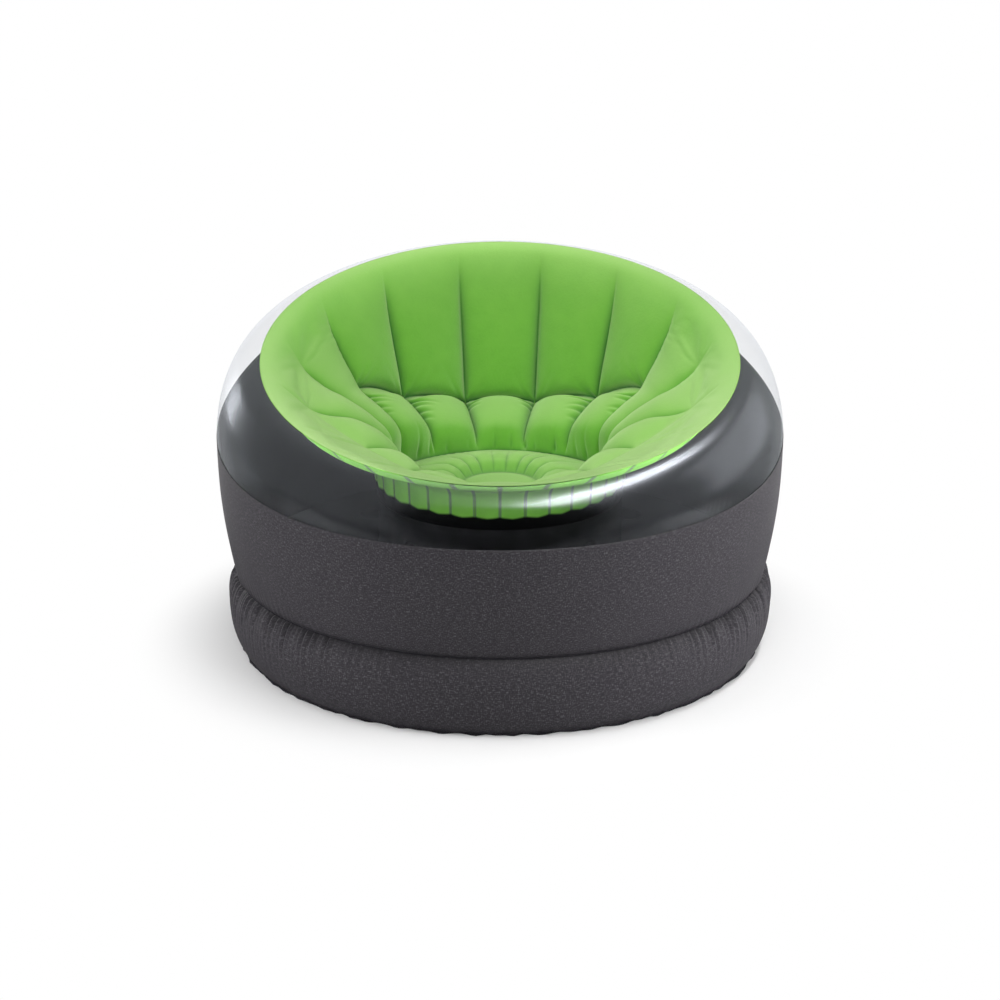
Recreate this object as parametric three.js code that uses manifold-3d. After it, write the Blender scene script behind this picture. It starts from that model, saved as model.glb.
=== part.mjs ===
// Round one-chamber inflatable chair with a fluted bucket seat.
// Millimetres, +Z up. Azimuth 0 is the front, which faces -Y, and 90 degrees is +X.

import * as THREE from 'three';
import * as BufferGeometryUtils from 'three/addons/utils/BufferGeometryUtils.js';
import Module from 'manifold-3d';

const wasm = await Module();
wasm.setup();

// Counts
const fluteCount = 16;
const stepsPerFlute = 4;
const columnCount = fluteCount * stepsPerFlute;
const lumbarFluteCount = 5;
const airHoleCount = 8;
const ringHoleCount = 4;
const holeSides = 12;
const tieSides = 32;
const valveSides = 32;
const quarterTurn = Math.PI / 2;
const columnAngle = (2 * Math.PI) / columnCount;

// Sheet and welds
const skinThickness = 0.5;
const weldGap = 0.3;
const weldWidth = 8;
const sheetPitch = skinThickness + weldGap;

// Outer body
const bodyRadius = 550;
const waistDepth = 30;
const waistHeight = 150;
const baseBulgeInset = 12;
const baseContactInset = 39;
const bottomFlange = 6;

// Seam between the printed wall and the clear shell
const seamMeanHeight = 468;
const seamTiltRise = 133;
const seamBowRise = 28;

// Rim weld between the clear shell and the bucket
const rimInset = 90;
const rimForwardShift = 20;
const rimMeanHeight = 580;
const rimTiltRise = 123.5;

// Bucket wall and seat
const creaseRadius = 240;
const creaseHeight = 300;
const fluteSwell = 30;
const beamDepth = 25;
const lumbarScallop = 9;
const seatCrown = 30;
const seatTuckDepth = 3.5;
const discRadius = 75;
const discHeight = 304;
const discDome = 9;

// Air holes
const airHoleRadius = 30;
const ringHoleRadius = 18;
const cutOverrun = 5;

// Valve
const valveBoreRadius = 17.5;
const valveTubeWall = 2;
const valveFlangeRadius = 24;
const valveFlangeThickness = 0.8;
const valveTubeInside = 12;
const valveTubeOutside = 2.5;
const plugFlangeRadius = 19;
const plugFlangeThickness = 1.6;
const plugSkirtLength = 11;
const plugWall = 1.5;
const plugNeckRadius = 6;
const plugNeckLength = 9;
const capRadius = 9;
const capThickness = 1.6;
const capSpigotLength = 4;
const capSpigotTaper = 0.5;
const capTabWidth = 6;
const capHingeOffset = 13;
const flapThickness = 0.6;
const flapOverlap = 1.2;

// Radii that follow the body
const waistRadius = bodyRadius - waistDepth;
const baseBulgeRadius = bodyRadius - baseBulgeInset;
const baseContactRadius = bodyRadius - baseContactInset;
const rimRadius = bodyRadius - rimInset;

// Bucket profile between the rim and the crease: share of the way in, share of the way down
const backShares = [[0, 0], [0.07, 0.05], [0.13, 0.27], [0.25, 0.58], [0.38, 0.83], [0.6, 0.865], [0.86, 0.92], [1, 1]];
const sideShares = [[0, 0], [0.12, 0.06], [0.3, 0.24], [0.49, 0.38], [0.67, 0.48], [0.87, 0.6], [1, 0.74], [1, 1]];
const frontShares = [[0, 0], [0.12, 0.07], [0.32, 0.17], [0.55, 0.28], [0.75, 0.38], [0.92, 0.49], [1, 0.68], [1, 1]];
const swellShares = [0, 0.08, 0.66, 0.95, 1, 1, 0.7, 0];
const frontSwellShare = 0.28;
const lumbarRow = 4;
const lumbarPinchShare = 0.12;
const beamShares = [0, 1, 1, 1, 0.8, 0.45, 0];
const beamEndShare = 0.35;

// Outer profiles: shares of the height between the welds, and the roundness of each bulge
const wallShares = [0.1, 0.33, 0.65, 1];
const wallRoundness = 2.5;
const baseShares = [0.9, 0.7, 0.45, 0.2, 0.06];
const baseRoundness = 2.6;
const shellShares = [0, 0.2, 0.4, 0.6, 0.8, 1];

// Seat panel: shares of the way in from the crease to the disc, and of the crown
const seatShares = [[0.12, 0.2], [0.4, 0.65], [0.72, 1]];
const seatTuckShares = [0, 1, 1];
const discMiddleShare = 0.55;

// Directions around the chair, and heights of the two sloping welds

function outwards(angle) {
  return new THREE.Vector3(Math.sin(angle), -Math.cos(angle), 0);
}

function aroundAxis(radius, angle, height) {
  const point = outwards(angle).multiplyScalar(radius);
  point.z = height;
  return point;
}

function seamHeight(angle) {
  return seamMeanHeight - seamTiltRise * Math.cos(angle) + seamBowRise * Math.cos(2 * angle);
}

function rimHeight(angle) {
  return rimMeanHeight - rimTiltRise * Math.cos(angle);
}

function rimPoint(angle) {
  const point = aroundAxis(rimRadius, angle, rimHeight(angle));
  point.y -= rimForwardShift;
  return point;
}

function mix(from, to, share) {
  return from + (to - from) * share;
}

// Sheets: a grid of points, columns around and rows along, given a thickness on both sides

function faceNormals(grid) {
  const rows = grid[0].length;
  const normals = grid.map((column) => column.map(() => []));
  for (let i = 0; i < grid.length; i += 1) {
    const next = (i + 1) % grid.length;
    for (let j = 0; j < rows - 1; j += 1) {
      const across = grid[next][j + 1].clone().sub(grid[i][j]);
      const back = grid[i][j + 1].clone().sub(grid[next][j]);
      const normal = across.cross(back).normalize();
      for (const [column, row] of [[i, j], [next, j], [next, j + 1], [i, j + 1]]) {
        normals[column][row].push(normal);
      }
    }
  }
  return normals;
}

function sheetOffsets(grid) {
  const leastCosine = Math.SQRT1_2;
  return faceNormals(grid).map((column) => column.map((around) => {
    const mean = new THREE.Vector3();
    around.forEach((normal) => mean.add(normal));
    mean.normalize();
    const cosine = around.reduce((least, normal) => Math.min(least, normal.dot(mean)), 1);
    return mean.divideScalar(Math.max(cosine, leastCosine));
  }));
}

function solidFrom(positions, faces) {
  const geometry = new THREE.BufferGeometry();
  geometry.setAttribute('position', new THREE.Float32BufferAttribute(positions.flatMap((point) => point.toArray()), 3));
  geometry.setIndex(faces.flat());
  return facingOut(geometry);
}

function enclosedVolume(geometry) {
  const position = geometry.getAttribute('position');
  const index = geometry.getIndex();
  const corners = [new THREE.Vector3(), new THREE.Vector3(), new THREE.Vector3()];
  let sum = 0;
  for (let k = 0; k < index.count; k += 3) {
    corners.forEach((corner, c) => corner.fromBufferAttribute(position, index.getX(k + c)));
    sum += corners[0].dot(corners[1].cross(corners[2]));
  }
  return sum;
}

function facingOut(geometry) {
  if (enclosedVolume(geometry) < 0) {
    const index = geometry.getIndex();
    for (let k = 0; k < index.count; k += 3) {
      const first = index.getX(k);
      index.setX(k, index.getX(k + 1));
      index.setX(k + 1, first);
    }
  }
  return geometry;
}

// Two triangles, split along either diagonal, so that the left half mirrors the right
function facetPair([a, b, c, d], fromFirst) {
  return fromFirst ? [[a, b, c], [a, c, d]] : [[a, b, d], [b, c, d]];
}

// A band that closes on itself around the chair, open at its first and last rows
function bandSheet(grid) {
  const rows = grid[0].length;
  const offsets = sheetOffsets(grid);
  const positions = [];
  for (const side of [skinThickness / 2, -skinThickness / 2]) {
    grid.forEach((column, i) => column.forEach((point, j) => {
      positions.push(point.clone().addScaledVector(offsets[i][j], side));
    }));
  }
  const under = grid.length * rows;
  const faces = [];
  for (let i = 0; i < grid.length; i += 1) {
    const here = i * rows;
    const next = ((i + 1) % grid.length) * rows;
    for (let j = 0; j < rows - 1; j += 1) {
      const corners = [here + j, next + j, next + j + 1, here + j + 1];
      faces.push(...facetPair(corners, 2 * i < grid.length));
      faces.push(...facetPair(corners.map((corner) => under + corner).reverse(), 2 * i >= grid.length));
    }
    const last = rows - 1;
    faces.push([here, under + here, under + next], [here, under + next, next]);
    faces.push([here + last, next + last, under + next + last]);
    faces.push([here + last, under + next + last, under + here + last]);
  }
  return solidFrom(positions, faces);
}

// A sheet that closes at a pole after its last row
function domeSheet(grid, pole) {
  const rows = grid[0].length;
  const offsets = sheetOffsets(grid);
  const positions = [];
  const sides = [skinThickness / 2, -skinThickness / 2];
  for (const side of sides) {
    grid.forEach((column, i) => column.forEach((point, j) => {
      positions.push(point.clone().addScaledVector(offsets[i][j], side));
    }));
  }
  const under = grid.length * rows;
  const upwards = Math.sign(offsets[0][rows - 1].z);
  for (const side of sides) {
    positions.push(new THREE.Vector3(pole.x, pole.y, pole.z + side * upwards));
  }
  const topPole = under * 2;
  const underPole = topPole + 1;
  const faces = [];
  for (let i = 0; i < grid.length; i += 1) {
    const here = i * rows;
    const next = ((i + 1) % grid.length) * rows;
    for (let j = 0; j < rows - 1; j += 1) {
      const corners = [here + j, next + j, next + j + 1, here + j + 1];
      faces.push(...facetPair(corners, 2 * i < grid.length));
      faces.push(...facetPair(corners.map((corner) => under + corner).reverse(), 2 * i >= grid.length));
    }
    const last = rows - 1;
    faces.push([here, under + here, under + next], [here, under + next, next]);
    faces.push([here + last, next + last, topPole], [under + here + last, underPole, under + next + last]);
  }
  return solidFrom(positions, faces);
}

function columns(pointsAt) {
  const grid = [];
  for (let i = 0; i < columnCount; i += 1) {
    grid.push(pointsAt(i * columnAngle, i));
  }
  return grid;
}

// Joins and cuts

function toSolid(geometry) {
  const bare = geometry.clone();
  bare.deleteAttribute('normal');
  bare.deleteAttribute('uv');
  const merged = BufferGeometryUtils.mergeVertices(bare);
  const mesh = new wasm.Mesh({
    numProp: 3,
    vertProperties: new Float32Array(merged.getAttribute('position').array),
    triVerts: new Uint32Array(merged.getIndex().array),
  });
  return new wasm.Manifold(mesh);
}

function toGeometry(solid) {
  const mesh = solid.getMesh();
  const geometry = new THREE.BufferGeometry();
  geometry.setAttribute('position', new THREE.Float32BufferAttribute(mesh.vertProperties, 3));
  geometry.setIndex(new THREE.Uint32BufferAttribute(mesh.triVerts, 1));
  return geometry;
}

function lathed(profile, sides) {
  const points = profile.map(([radius, height]) => new THREE.Vector2(radius, height));
  const geometry = new THREE.LatheGeometry(points, sides);
  geometry.rotateX(quarterTurn);
  geometry.deleteAttribute('normal');
  geometry.deleteAttribute('uv');
  return facingOut(BufferGeometryUtils.mergeVertices(geometry));
}

// Bucket wall: the surface of its groove lines, and the flutes that swell between them

function profileShare(row, axis, angle) {
  const back = backShares[row][axis];
  const side = sideShares[row][axis];
  const front = frontShares[row][axis];
  const facing = Math.cos(angle);
  return side + ((front - back) / 2) * facing + ((front + back) / 2 - side) * facing * facing;
}

function groovePoint(angle, row) {
  const rim = rimPoint(angle);
  const crease = aroundAxis(creaseRadius, angle, creaseHeight);
  const point = rim.clone().lerp(crease, profileShare(row, 0, angle));
  point.z = mix(rim.z, crease.z, profileShare(row, 1, angle));
  return point;
}

// Upright direction to the sitter's side, square to the groove line and in its upright plane
function grooveNormal(angle, row) {
  const last = backShares.length - 1;
  const along = groovePoint(angle, Math.min(row + 1, last)).sub(groovePoint(angle, Math.max(row - 1, 0)));
  const inwards = aroundAxis(creaseRadius, angle, 0).sub(rimPoint(angle)).setZ(0).normalize();
  const run = along.dot(inwards);
  return inwards.multiplyScalar(-along.z).setZ(run).normalize();
}

function fluteRound(column) {
  const share = ((column + stepsPerFlute / 2) % stepsPerFlute) / stepsPerFlute;
  const fromCrown = 2 * share - 1;
  return Math.sqrt(Math.max(0, 1 - fromCrown * fromCrown));
}

// Share of the full flute depth: the front flutes are shallow
function depthShare(angle) {
  const facing = Math.max(0, Math.cos(angle));
  return mix(1, frontSwellShare, facing * facing);
}

function isLumbar(column) {
  const fromBack = Math.abs(column - columnCount / 2);
  return fromBack < (lumbarFluteCount * stepsPerFlute) / 2;
}

function bucketPoint(angle, column, row) {
  const tucked = row === lumbarRow && isLumbar(column);
  const pinch = tucked ? lumbarPinchShare : 1;
  const swell = fluteSwell * depthShare(angle) * swellShares[row] * fluteRound(column) * pinch;
  const point = groovePoint(angle, row).addScaledVector(grooveNormal(angle, row), swell);
  point.z += tucked ? lumbarScallop * fluteRound(column) : 0;
  return point;
}

const bucketWall = bandSheet(columns((angle, column) => {
  const line = backShares.map((_, row) => bucketPoint(angle, column, row));
  line.push(aroundAxis(creaseRadius, angle, creaseHeight - weldWidth));
  return line;
}));

// Backing sheet behind the flutes, welded near the rim and outside the ring web at the crease
const backingRadius = creaseRadius + 2 * sheetPitch;

function backingPoint(angle, row) {
  const depth = sheetPitch + weldGap + beamDepth * depthShare(angle) * beamShares[row - 1];
  return groovePoint(angle, row).addScaledVector(grooveNormal(angle, row), -depth);
}

const beamRows = beamShares.map((_, k) => k + 1);

const bucketBacking = bandSheet(columns((angle) => {
  const line = beamRows.slice(0, -1).map((row) => backingPoint(angle, row));
  const foot = creaseHeight - weldWidth;
  line.push(aroundAxis(backingRadius, angle, creaseHeight), aroundAxis(backingRadius, angle, foot));
  return line;
}));

// One upright web behind each groove, between the bucket wall and the backing sheet
function fluteWeb(angle) {
  const rim = rimPoint(angle);
  const inwards = aroundAxis(creaseRadius, angle, 0).sub(rim).setZ(0).normalize();
  const clearance = skinThickness / 2 + weldGap;
  const inPlane = (point) => new THREE.Vector2(point.clone().sub(rim).dot(inwards), point.z);
  const sideLine = (pointAt, lift) => {
    const line = beamRows.map((row) => {
      return pointAt(angle, row).addScaledVector(grooveNormal(angle, row), lift);
    });
    const last = line.length - 1;
    line[0].lerp(line[1], beamEndShare);
    line[last].lerp(line[last - 1], beamEndShare);
    return line.map(inPlane);
  };
  const upper = sideLine(groovePoint, -clearance);
  const lower = sideLine(backingPoint, clearance);
  const outline = new THREE.Shape([...upper, ...lower.reverse()]);
  const geometry = new THREE.ExtrudeGeometry(outline, { depth: skinThickness, bevelEnabled: false });
  const up = new THREE.Vector3(0, 0, 1);
  const across = inwards.clone().cross(up);
  const origin = rim.clone().setZ(0).addScaledVector(across, -skinThickness / 2);
  geometry.applyMatrix4(new THREE.Matrix4().makeBasis(inwards, up, across).setPosition(origin));
  return geometry;
}

// Clear shell: lapped inside the printed wall below, and under the bucket's edge above

function wallRadius(share) {
  return mix(waistRadius, bodyRadius, 1 - Math.pow(1 - share, wallRoundness));
}

const shellRadius = bodyRadius - sheetPitch;

function underRim(angle) {
  return rimPoint(angle).addScaledVector(grooveNormal(angle, 0), -sheetPitch - weldGap);
}

function shellPoint(angle, share) {
  const seam = aroundAxis(shellRadius, angle, seamHeight(angle));
  const rim = underRim(angle);
  const turn = share * quarterTurn;
  const point = seam.clone().lerp(rim, 1 - Math.cos(turn));
  point.z = mix(seam.z, rim.z, Math.sin(turn));
  return point;
}

const clearShell = bandSheet(columns((angle) => {
  const lap = aroundAxis(shellRadius, angle, seamHeight(angle) - weldWidth);
  const inwards = groovePoint(angle, 1).sub(rimPoint(angle)).normalize();
  const under = underRim(angle).addScaledVector(inwards, weldWidth);
  return [lap, ...shellShares.map((share) => shellPoint(angle, share)), under];
}));

// Printed side wall, with its lower edge turned into the waist
const waistLipRadius = waistRadius - weldWidth;

const sideWallBlank = bandSheet(columns((angle) => {
  const foot = waistHeight + sheetPitch;
  const line = [
    aroundAxis(waistLipRadius, angle, foot),
    aroundAxis(waistRadius, angle, foot),
  ];
  for (const share of wallShares) {
    line.push(aroundAxis(wallRadius(share), angle, mix(foot, seamHeight(angle), share)));
  }
  return line;
}));

// Printed base band, from the waist down to its lip on the bottom sheet
const baseTop = waistHeight - sheetPitch;
const baseFoot = skinThickness / 2 + sheetPitch;

function basePoint(angle, share) {
  const chord = mix(baseContactRadius, waistRadius, share);
  const middle = mix(baseContactRadius, waistRadius, 1 / 2);
  const bulge = (baseBulgeRadius - middle) * (1 - Math.pow(Math.abs(2 * share - 1), baseRoundness));
  return aroundAxis(chord + bulge, angle, mix(baseFoot, baseTop, share));
}

const baseBand = bandSheet(columns((angle) => [
  aroundAxis(waistLipRadius, angle, baseTop),
  aroundAxis(waistRadius, angle, baseTop),
  ...baseShares.map((share) => basePoint(angle, share)),
  aroundAxis(baseContactRadius, angle, baseFoot),
  aroundAxis(baseContactRadius - weldWidth, angle, baseFoot),
]));

// Flat sheets, cut from outlines and laid level

function polygonPoints(radius, sides) {
  const points = [];
  for (let i = 0; i < sides; i += 1) {
    const point = aroundAxis(radius, (i * 2 * Math.PI) / sides, 0);
    points.push(new THREE.Vector2(point.x, point.y));
  }
  return points;
}

function levelSheet(outline, height) {
  const geometry = new THREE.ExtrudeGeometry(outline, { depth: skinThickness, bevelEnabled: false });
  geometry.translate(0, 0, height - skinThickness / 2);
  return geometry;
}

const bottomSheet = levelSheet(
  new THREE.Shape(polygonPoints(baseContactRadius + bottomFlange, columnCount)),
  skinThickness / 2,
);

// Cylindrical web from the seat crease to the bottom sheet, with air holes
const ringWebRadius = creaseRadius + sheetPitch;
const ringWebTop = creaseHeight - sheetPitch;
const webFoot = skinThickness + weldGap;

function ringWeb() {
  let solid = toSolid(bandSheet(columns((angle) => [
    aroundAxis(ringWebRadius, angle, webFoot),
    aroundAxis(ringWebRadius, angle, ringWebTop),
  ])));
  const levels = [mix(webFoot, waistHeight, 1 / 2), mix(waistHeight, ringWebTop, 1 / 2)];
  for (let i = 0; i < ringHoleCount; i += 1) {
    const angle = ((i + 1 / 2) * 2 * Math.PI) / ringHoleCount;
    for (const level of levels) {
      const drill = new THREE.CylinderGeometry(ringHoleRadius, ringHoleRadius, 2 * cutOverrun, holeSides);
      drill.rotateZ(angle);
      const centre = aroundAxis(ringWebRadius, angle, level);
      drill.translate(centre.x, centre.y, centre.z);
      solid = solid.subtract(toSolid(drill));
    }
  }
  return toGeometry(solid);
}

// Level web that holds the waist in, with its outer edge between the two turned lips
function waistWeb() {
  const outline = new THREE.Shape(polygonPoints(waistRadius - skinThickness, columnCount));
  const inner = ringWebRadius + skinThickness / 2 + weldGap;
  outline.holes.push(new THREE.Path(polygonPoints(inner, columnCount)));
  const middle = mix(inner, waistRadius, 1 / 2);
  for (let i = 0; i < airHoleCount; i += 1) {
    const centre = aroundAxis(middle, (i * 2 * Math.PI) / airHoleCount, 0);
    const hole = polygonPoints(airHoleRadius, holeSides).map((point) => {
      return point.add(new THREE.Vector2(centre.x, centre.y));
    });
    outline.holes.push(new THREE.Path(hole));
  }
  return levelSheet(outline, waistHeight);
}

// Seat panel: crowned ring with radial tucks, and a ring weld round its centre disc
const seatEdgeRadius = creaseRadius - sheetPitch;

function seatPanel() {
  const grid = columns((angle, column) => {
    const line = [
      aroundAxis(seatEdgeRadius, angle, creaseHeight - weldWidth),
      aroundAxis(seatEdgeRadius, angle, creaseHeight),
    ];
    seatShares.forEach(([inShare, crownShare], k) => {
      const level = mix(creaseHeight, discHeight, inShare) + seatCrown * crownShare;
      const tuck = seatTuckDepth * seatTuckShares[k] * (1 - fluteRound(column + stepsPerFlute / 2));
      line.push(aroundAxis(mix(seatEdgeRadius, discRadius, inShare), angle, level - tuck));
    });
    line.push(aroundAxis(discRadius, angle, discHeight));
    line.push(aroundAxis(discRadius * discMiddleShare, angle, discHeight + discDome));
    return line;
  });
  return domeSheet(grid, new THREE.Vector3(0, 0, discHeight + discDome));
}

// Tube-shaped web that ties the disc's ring weld to the bottom sheet
function seatTieWeb() {
  const grid = [];
  for (let i = 0; i < tieSides; i += 1) {
    const angle = (i * 2 * Math.PI) / tieSides;
    grid.push([
      aroundAxis(discRadius, angle, webFoot),
      aroundAxis(discRadius, angle, discHeight - sheetPitch),
    ]);
  }
  return bandSheet(grid);
}

// Valve at the back of the printed wall, square to the flat between two columns
const valveColumn = columnCount / 2;
const valveRowShare = (wallShares[0] + wallShares[1]) / 2;
const valveAngle = (valveColumn + 1 / 2) * columnAngle;

function wallFacetPoint(share) {
  const foot = waistHeight + sheetPitch;
  const radius = wallRadius(share) * Math.cos(columnAngle / 2);
  const angle = valveColumn * columnAngle;
  return aroundAxis(radius, valveAngle, mix(foot, seamHeight(angle), share));
}

const facetLow = wallFacetPoint(wallShares[0]);
const facetHigh = wallFacetPoint(wallShares[1]);
const facetUp = facetHigh.clone().sub(facetLow).normalize();
const facetSide = outwards(valveAngle + quarterTurn);
const facetOut = facetSide.clone().cross(facetUp).normalize();
const valvePlace = facetLow.clone().lerp(facetHigh, 1 / 2);
const facetHalfWidth = wallRadius(valveRowShare) * Math.sin(columnAngle / 2);
const flangeOverhang = Math.max(0, valveFlangeRadius - facetHalfWidth);
const flangeDrop = flangeOverhang * Math.tan(columnAngle);
const flangeTop = -(skinThickness / 2 + weldGap + flangeDrop);

const valveGroup = new THREE.Group();
valveGroup.position.copy(valvePlace);
valveGroup.quaternion.setFromRotationMatrix(
  new THREE.Matrix4().makeBasis(facetSide, facetUp, facetOut),
);
valveGroup.updateMatrixWorld(true);

const valveTubeRadius = valveBoreRadius + valveTubeWall;
const plugSkirtRadius = valveBoreRadius - weldGap;
const plugFlangeFoot = valveTubeOutside + weldGap;
const plugTop = plugFlangeFoot + plugFlangeThickness;
const plugSkirtFoot = plugFlangeFoot - plugSkirtLength;
const neckFoot = plugFlangeFoot - plugNeckLength;

function sideWall() {
  const drill = lathed([
    [0, -cutOverrun],
    [valveTubeRadius + weldGap, -cutOverrun],
    [valveTubeRadius + weldGap, cutOverrun],
    [0, cutOverrun],
  ], valveSides);
  drill.applyMatrix4(valveGroup.matrixWorld);
  return toGeometry(toSolid(sideWallBlank).subtract(toSolid(drill)));
}

const valveBase = lathed([
  [valveBoreRadius, flangeTop - valveTubeInside],
  [valveTubeRadius, flangeTop - valveTubeInside],
  [valveTubeRadius, flangeTop - valveFlangeThickness],
  [valveFlangeRadius, flangeTop - valveFlangeThickness],
  [valveFlangeRadius, flangeTop],
  [valveTubeRadius, flangeTop],
  [valveTubeRadius, valveTubeOutside],
  [valveBoreRadius, valveTubeOutside],
  [valveBoreRadius, flangeTop - valveTubeInside],
], valveSides);

const valvePlug = lathed([
  [plugNeckRadius, neckFoot],
  [plugNeckRadius + plugWall, neckFoot],
  [plugNeckRadius + plugWall, plugFlangeFoot],
  [plugSkirtRadius - plugWall, plugFlangeFoot],
  [plugSkirtRadius - plugWall, plugSkirtFoot],
  [plugSkirtRadius, plugSkirtFoot],
  [plugSkirtRadius, plugFlangeFoot],
  [plugFlangeRadius, plugFlangeFoot],
  [plugFlangeRadius, plugTop],
  [plugNeckRadius, plugTop],
  [plugNeckRadius, neckFoot],
], valveSides);

// Cap with a tapered spigot, and a tab whose round end turns in place
const capFoot = plugTop + weldGap;

function valveCap() {
  const spigotRadius = plugNeckRadius - weldGap;
  const body = lathed([
    [0, capFoot - weldGap - capSpigotLength],
    [spigotRadius - capSpigotTaper, capFoot - weldGap - capSpigotLength],
    [spigotRadius, capFoot],
    [capRadius, capFoot],
    [capRadius, capFoot + capThickness],
    [0, capFoot + capThickness],
  ], valveSides);
  const half = capThickness / 2;
  const profile = new THREE.Shape();
  profile.moveTo(capRadius / 2, -half);
  profile.absarc(capHingeOffset, 0, half, -quarterTurn, quarterTurn, false);
  profile.lineTo(capRadius / 2, half);
  const tab = new THREE.ExtrudeGeometry(profile, {
    depth: capTabWidth,
    bevelEnabled: false,
    curveSegments: stepsPerFlute,
  });
  const basis = new THREE.Matrix4().makeBasis(
    new THREE.Vector3(0, 1, 0),
    new THREE.Vector3(0, 0, 1),
    new THREE.Vector3(1, 0, 0),
  );
  basis.setPosition(-capTabWidth / 2, 0, capFoot + half);
  tab.applyMatrix4(basis);
  return toGeometry(toSolid(body).add(toSolid(tab)));
}

const flapRadius = plugNeckRadius + flapOverlap;
const flapTop = neckFoot - weldGap;

const valveFlap = lathed([
  [0, flapTop - flapThickness],
  [flapRadius, flapTop - flapThickness],
  [flapRadius, flapTop],
  [0, flapTop],
], valveSides);

// Materials

const green = new THREE.MeshStandardMaterial({ color: 0x6cbf3f, roughness: 0.95, metalness: 0 });
const greenVinyl = new THREE.MeshStandardMaterial({ color: 0x5fb038, roughness: 0.45, metalness: 0 });
const heather = new THREE.MeshStandardMaterial({ color: 0x4f4d51, roughness: 0.75, metalness: 0 });
const black = new THREE.MeshStandardMaterial({ color: 0x1a191d, roughness: 0.4, metalness: 0 });
const clear = new THREE.MeshStandardMaterial({
  color: 0xe9eef0,
  roughness: 0.08,
  metalness: 0,
  transparent: true,
  opacity: 0.3,
});
const milky = new THREE.MeshStandardMaterial({ color: 0xd8dcdc, roughness: 0.35, metalness: 0 });

// Assembly

const chair = new THREE.Group();

function place(parent, name, geometry, material) {
  const mesh = new THREE.Mesh(geometry, material);
  mesh.name = name;
  parent.add(mesh);
}

place(chair, 'bucket_wall', bucketWall, green);
place(chair, 'seat_panel', seatPanel(), green);
place(chair, 'clear_shell', clearShell, clear);
place(chair, 'side_wall', sideWall(), heather);
place(chair, 'base_band', baseBand, heather);
place(chair, 'bottom_sheet', bottomSheet, black);
place(chair, 'bucket_backing', bucketBacking, greenVinyl);
place(chair, 'ring_web', ringWeb(), black);
place(chair, 'waist_web', waistWeb(), black);
place(chair, 'seat_tie_web', seatTieWeb(), black);

for (let k = 0; k < fluteCount; k += 1) {
  const angle = ((k + 1 / 2) * 2 * Math.PI) / fluteCount;
  place(chair, `flute_web_${String(k + 1).padStart(2, '0')}`, fluteWeb(angle), greenVinyl);
}

place(valveGroup, 'valve_base', valveBase, milky);
place(valveGroup, 'valve_plug', valvePlug, milky);
place(valveGroup, 'valve_cap', valveCap(), milky);
place(valveGroup, 'valve_flap', valveFlap, milky);
chair.add(valveGroup);

export default chair;
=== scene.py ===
# Round inflatable chair: fluted flocked bucket, clear upper band, woven-print walls, air valve.
# Metres, +Z up. Angles around the chair start at the front (-Y) and grow towards +X.
import bpy
import math
import numpy as np
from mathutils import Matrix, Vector


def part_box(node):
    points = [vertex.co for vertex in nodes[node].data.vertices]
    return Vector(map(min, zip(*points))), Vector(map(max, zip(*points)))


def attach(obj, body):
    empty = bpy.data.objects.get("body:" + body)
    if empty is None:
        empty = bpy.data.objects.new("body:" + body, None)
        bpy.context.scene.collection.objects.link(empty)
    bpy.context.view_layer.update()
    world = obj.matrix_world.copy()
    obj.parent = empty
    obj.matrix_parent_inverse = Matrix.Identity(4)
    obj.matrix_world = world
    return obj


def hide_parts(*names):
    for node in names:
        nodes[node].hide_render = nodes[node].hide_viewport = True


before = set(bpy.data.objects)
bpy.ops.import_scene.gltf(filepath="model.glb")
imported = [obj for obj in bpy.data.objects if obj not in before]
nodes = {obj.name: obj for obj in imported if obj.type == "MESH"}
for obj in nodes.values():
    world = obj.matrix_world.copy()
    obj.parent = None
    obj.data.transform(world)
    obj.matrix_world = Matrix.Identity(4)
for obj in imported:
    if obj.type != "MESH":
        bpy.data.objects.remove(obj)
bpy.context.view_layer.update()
scene = bpy.context.scene
print("frame loaded")


# Shader node helpers

def addNode(tree, kind, place=(0, 0), **sockets):
    node = tree.nodes.new(kind)
    node.location = place
    for name, value in sockets.items():
        node.inputs[name.replace("_", " ")].default_value = value
    return node


def feed(tree, socket, value):
    # a socket takes a number, a colour or another node's output
    if isinstance(value, (int, float)):
        socket.default_value = value
    elif isinstance(value, tuple):
        socket.default_value = (*value, 1)
    else:
        tree.links.new(value, socket)


def mathNode(tree, operation, first, second=None, third=None, place=(0, 0)):
    node = addNode(tree, "ShaderNodeMath", place)
    node.operation = operation
    for socket, value in zip(node.inputs, (first, second, third)):
        if value is not None:
            feed(tree, socket, value)
    return node.outputs[0]


def smoothStep(tree, value, zeroAt, oneAt, place=(0, 0), least=0):
    # from least at zeroAt to 1 at oneAt
    node = addNode(tree, "ShaderNodeMapRange", place)
    node.interpolation_type = "SMOOTHSTEP"
    node.inputs["From Min"].default_value = zeroAt
    node.inputs["From Max"].default_value = oneAt
    node.inputs["To Min"].default_value = least
    tree.links.new(value, node.inputs["Value"])
    return node.outputs["Result"]


def splitVector(tree, vector, place=(0, 0)):
    node = addNode(tree, "ShaderNodeSeparateXYZ", place)
    tree.links.new(vector, node.inputs[0])
    return node.outputs


def mixShaders(tree, share, first, second, place=(0, 0)):
    node = addNode(tree, "ShaderNodeMixShader", place)
    for socket, source in zip(node.inputs, (share, first, second)):
        tree.links.new(source, socket)
    return node.outputs[0]


def newMaterial(name):
    material = bpy.data.materials.new(name)
    material.use_nodes = True
    tree = material.node_tree
    tree.nodes.clear()
    out = addNode(tree, "ShaderNodeOutputMaterial", (900, 0))
    return material, tree, out


# Camera and studio

cameraView = {
    "place": (0, -3.7291, 1.5115),
    "lookAt": (0, 0, 0.271),
    "lens": 71.34,
    "sensor": 36,
}

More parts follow.
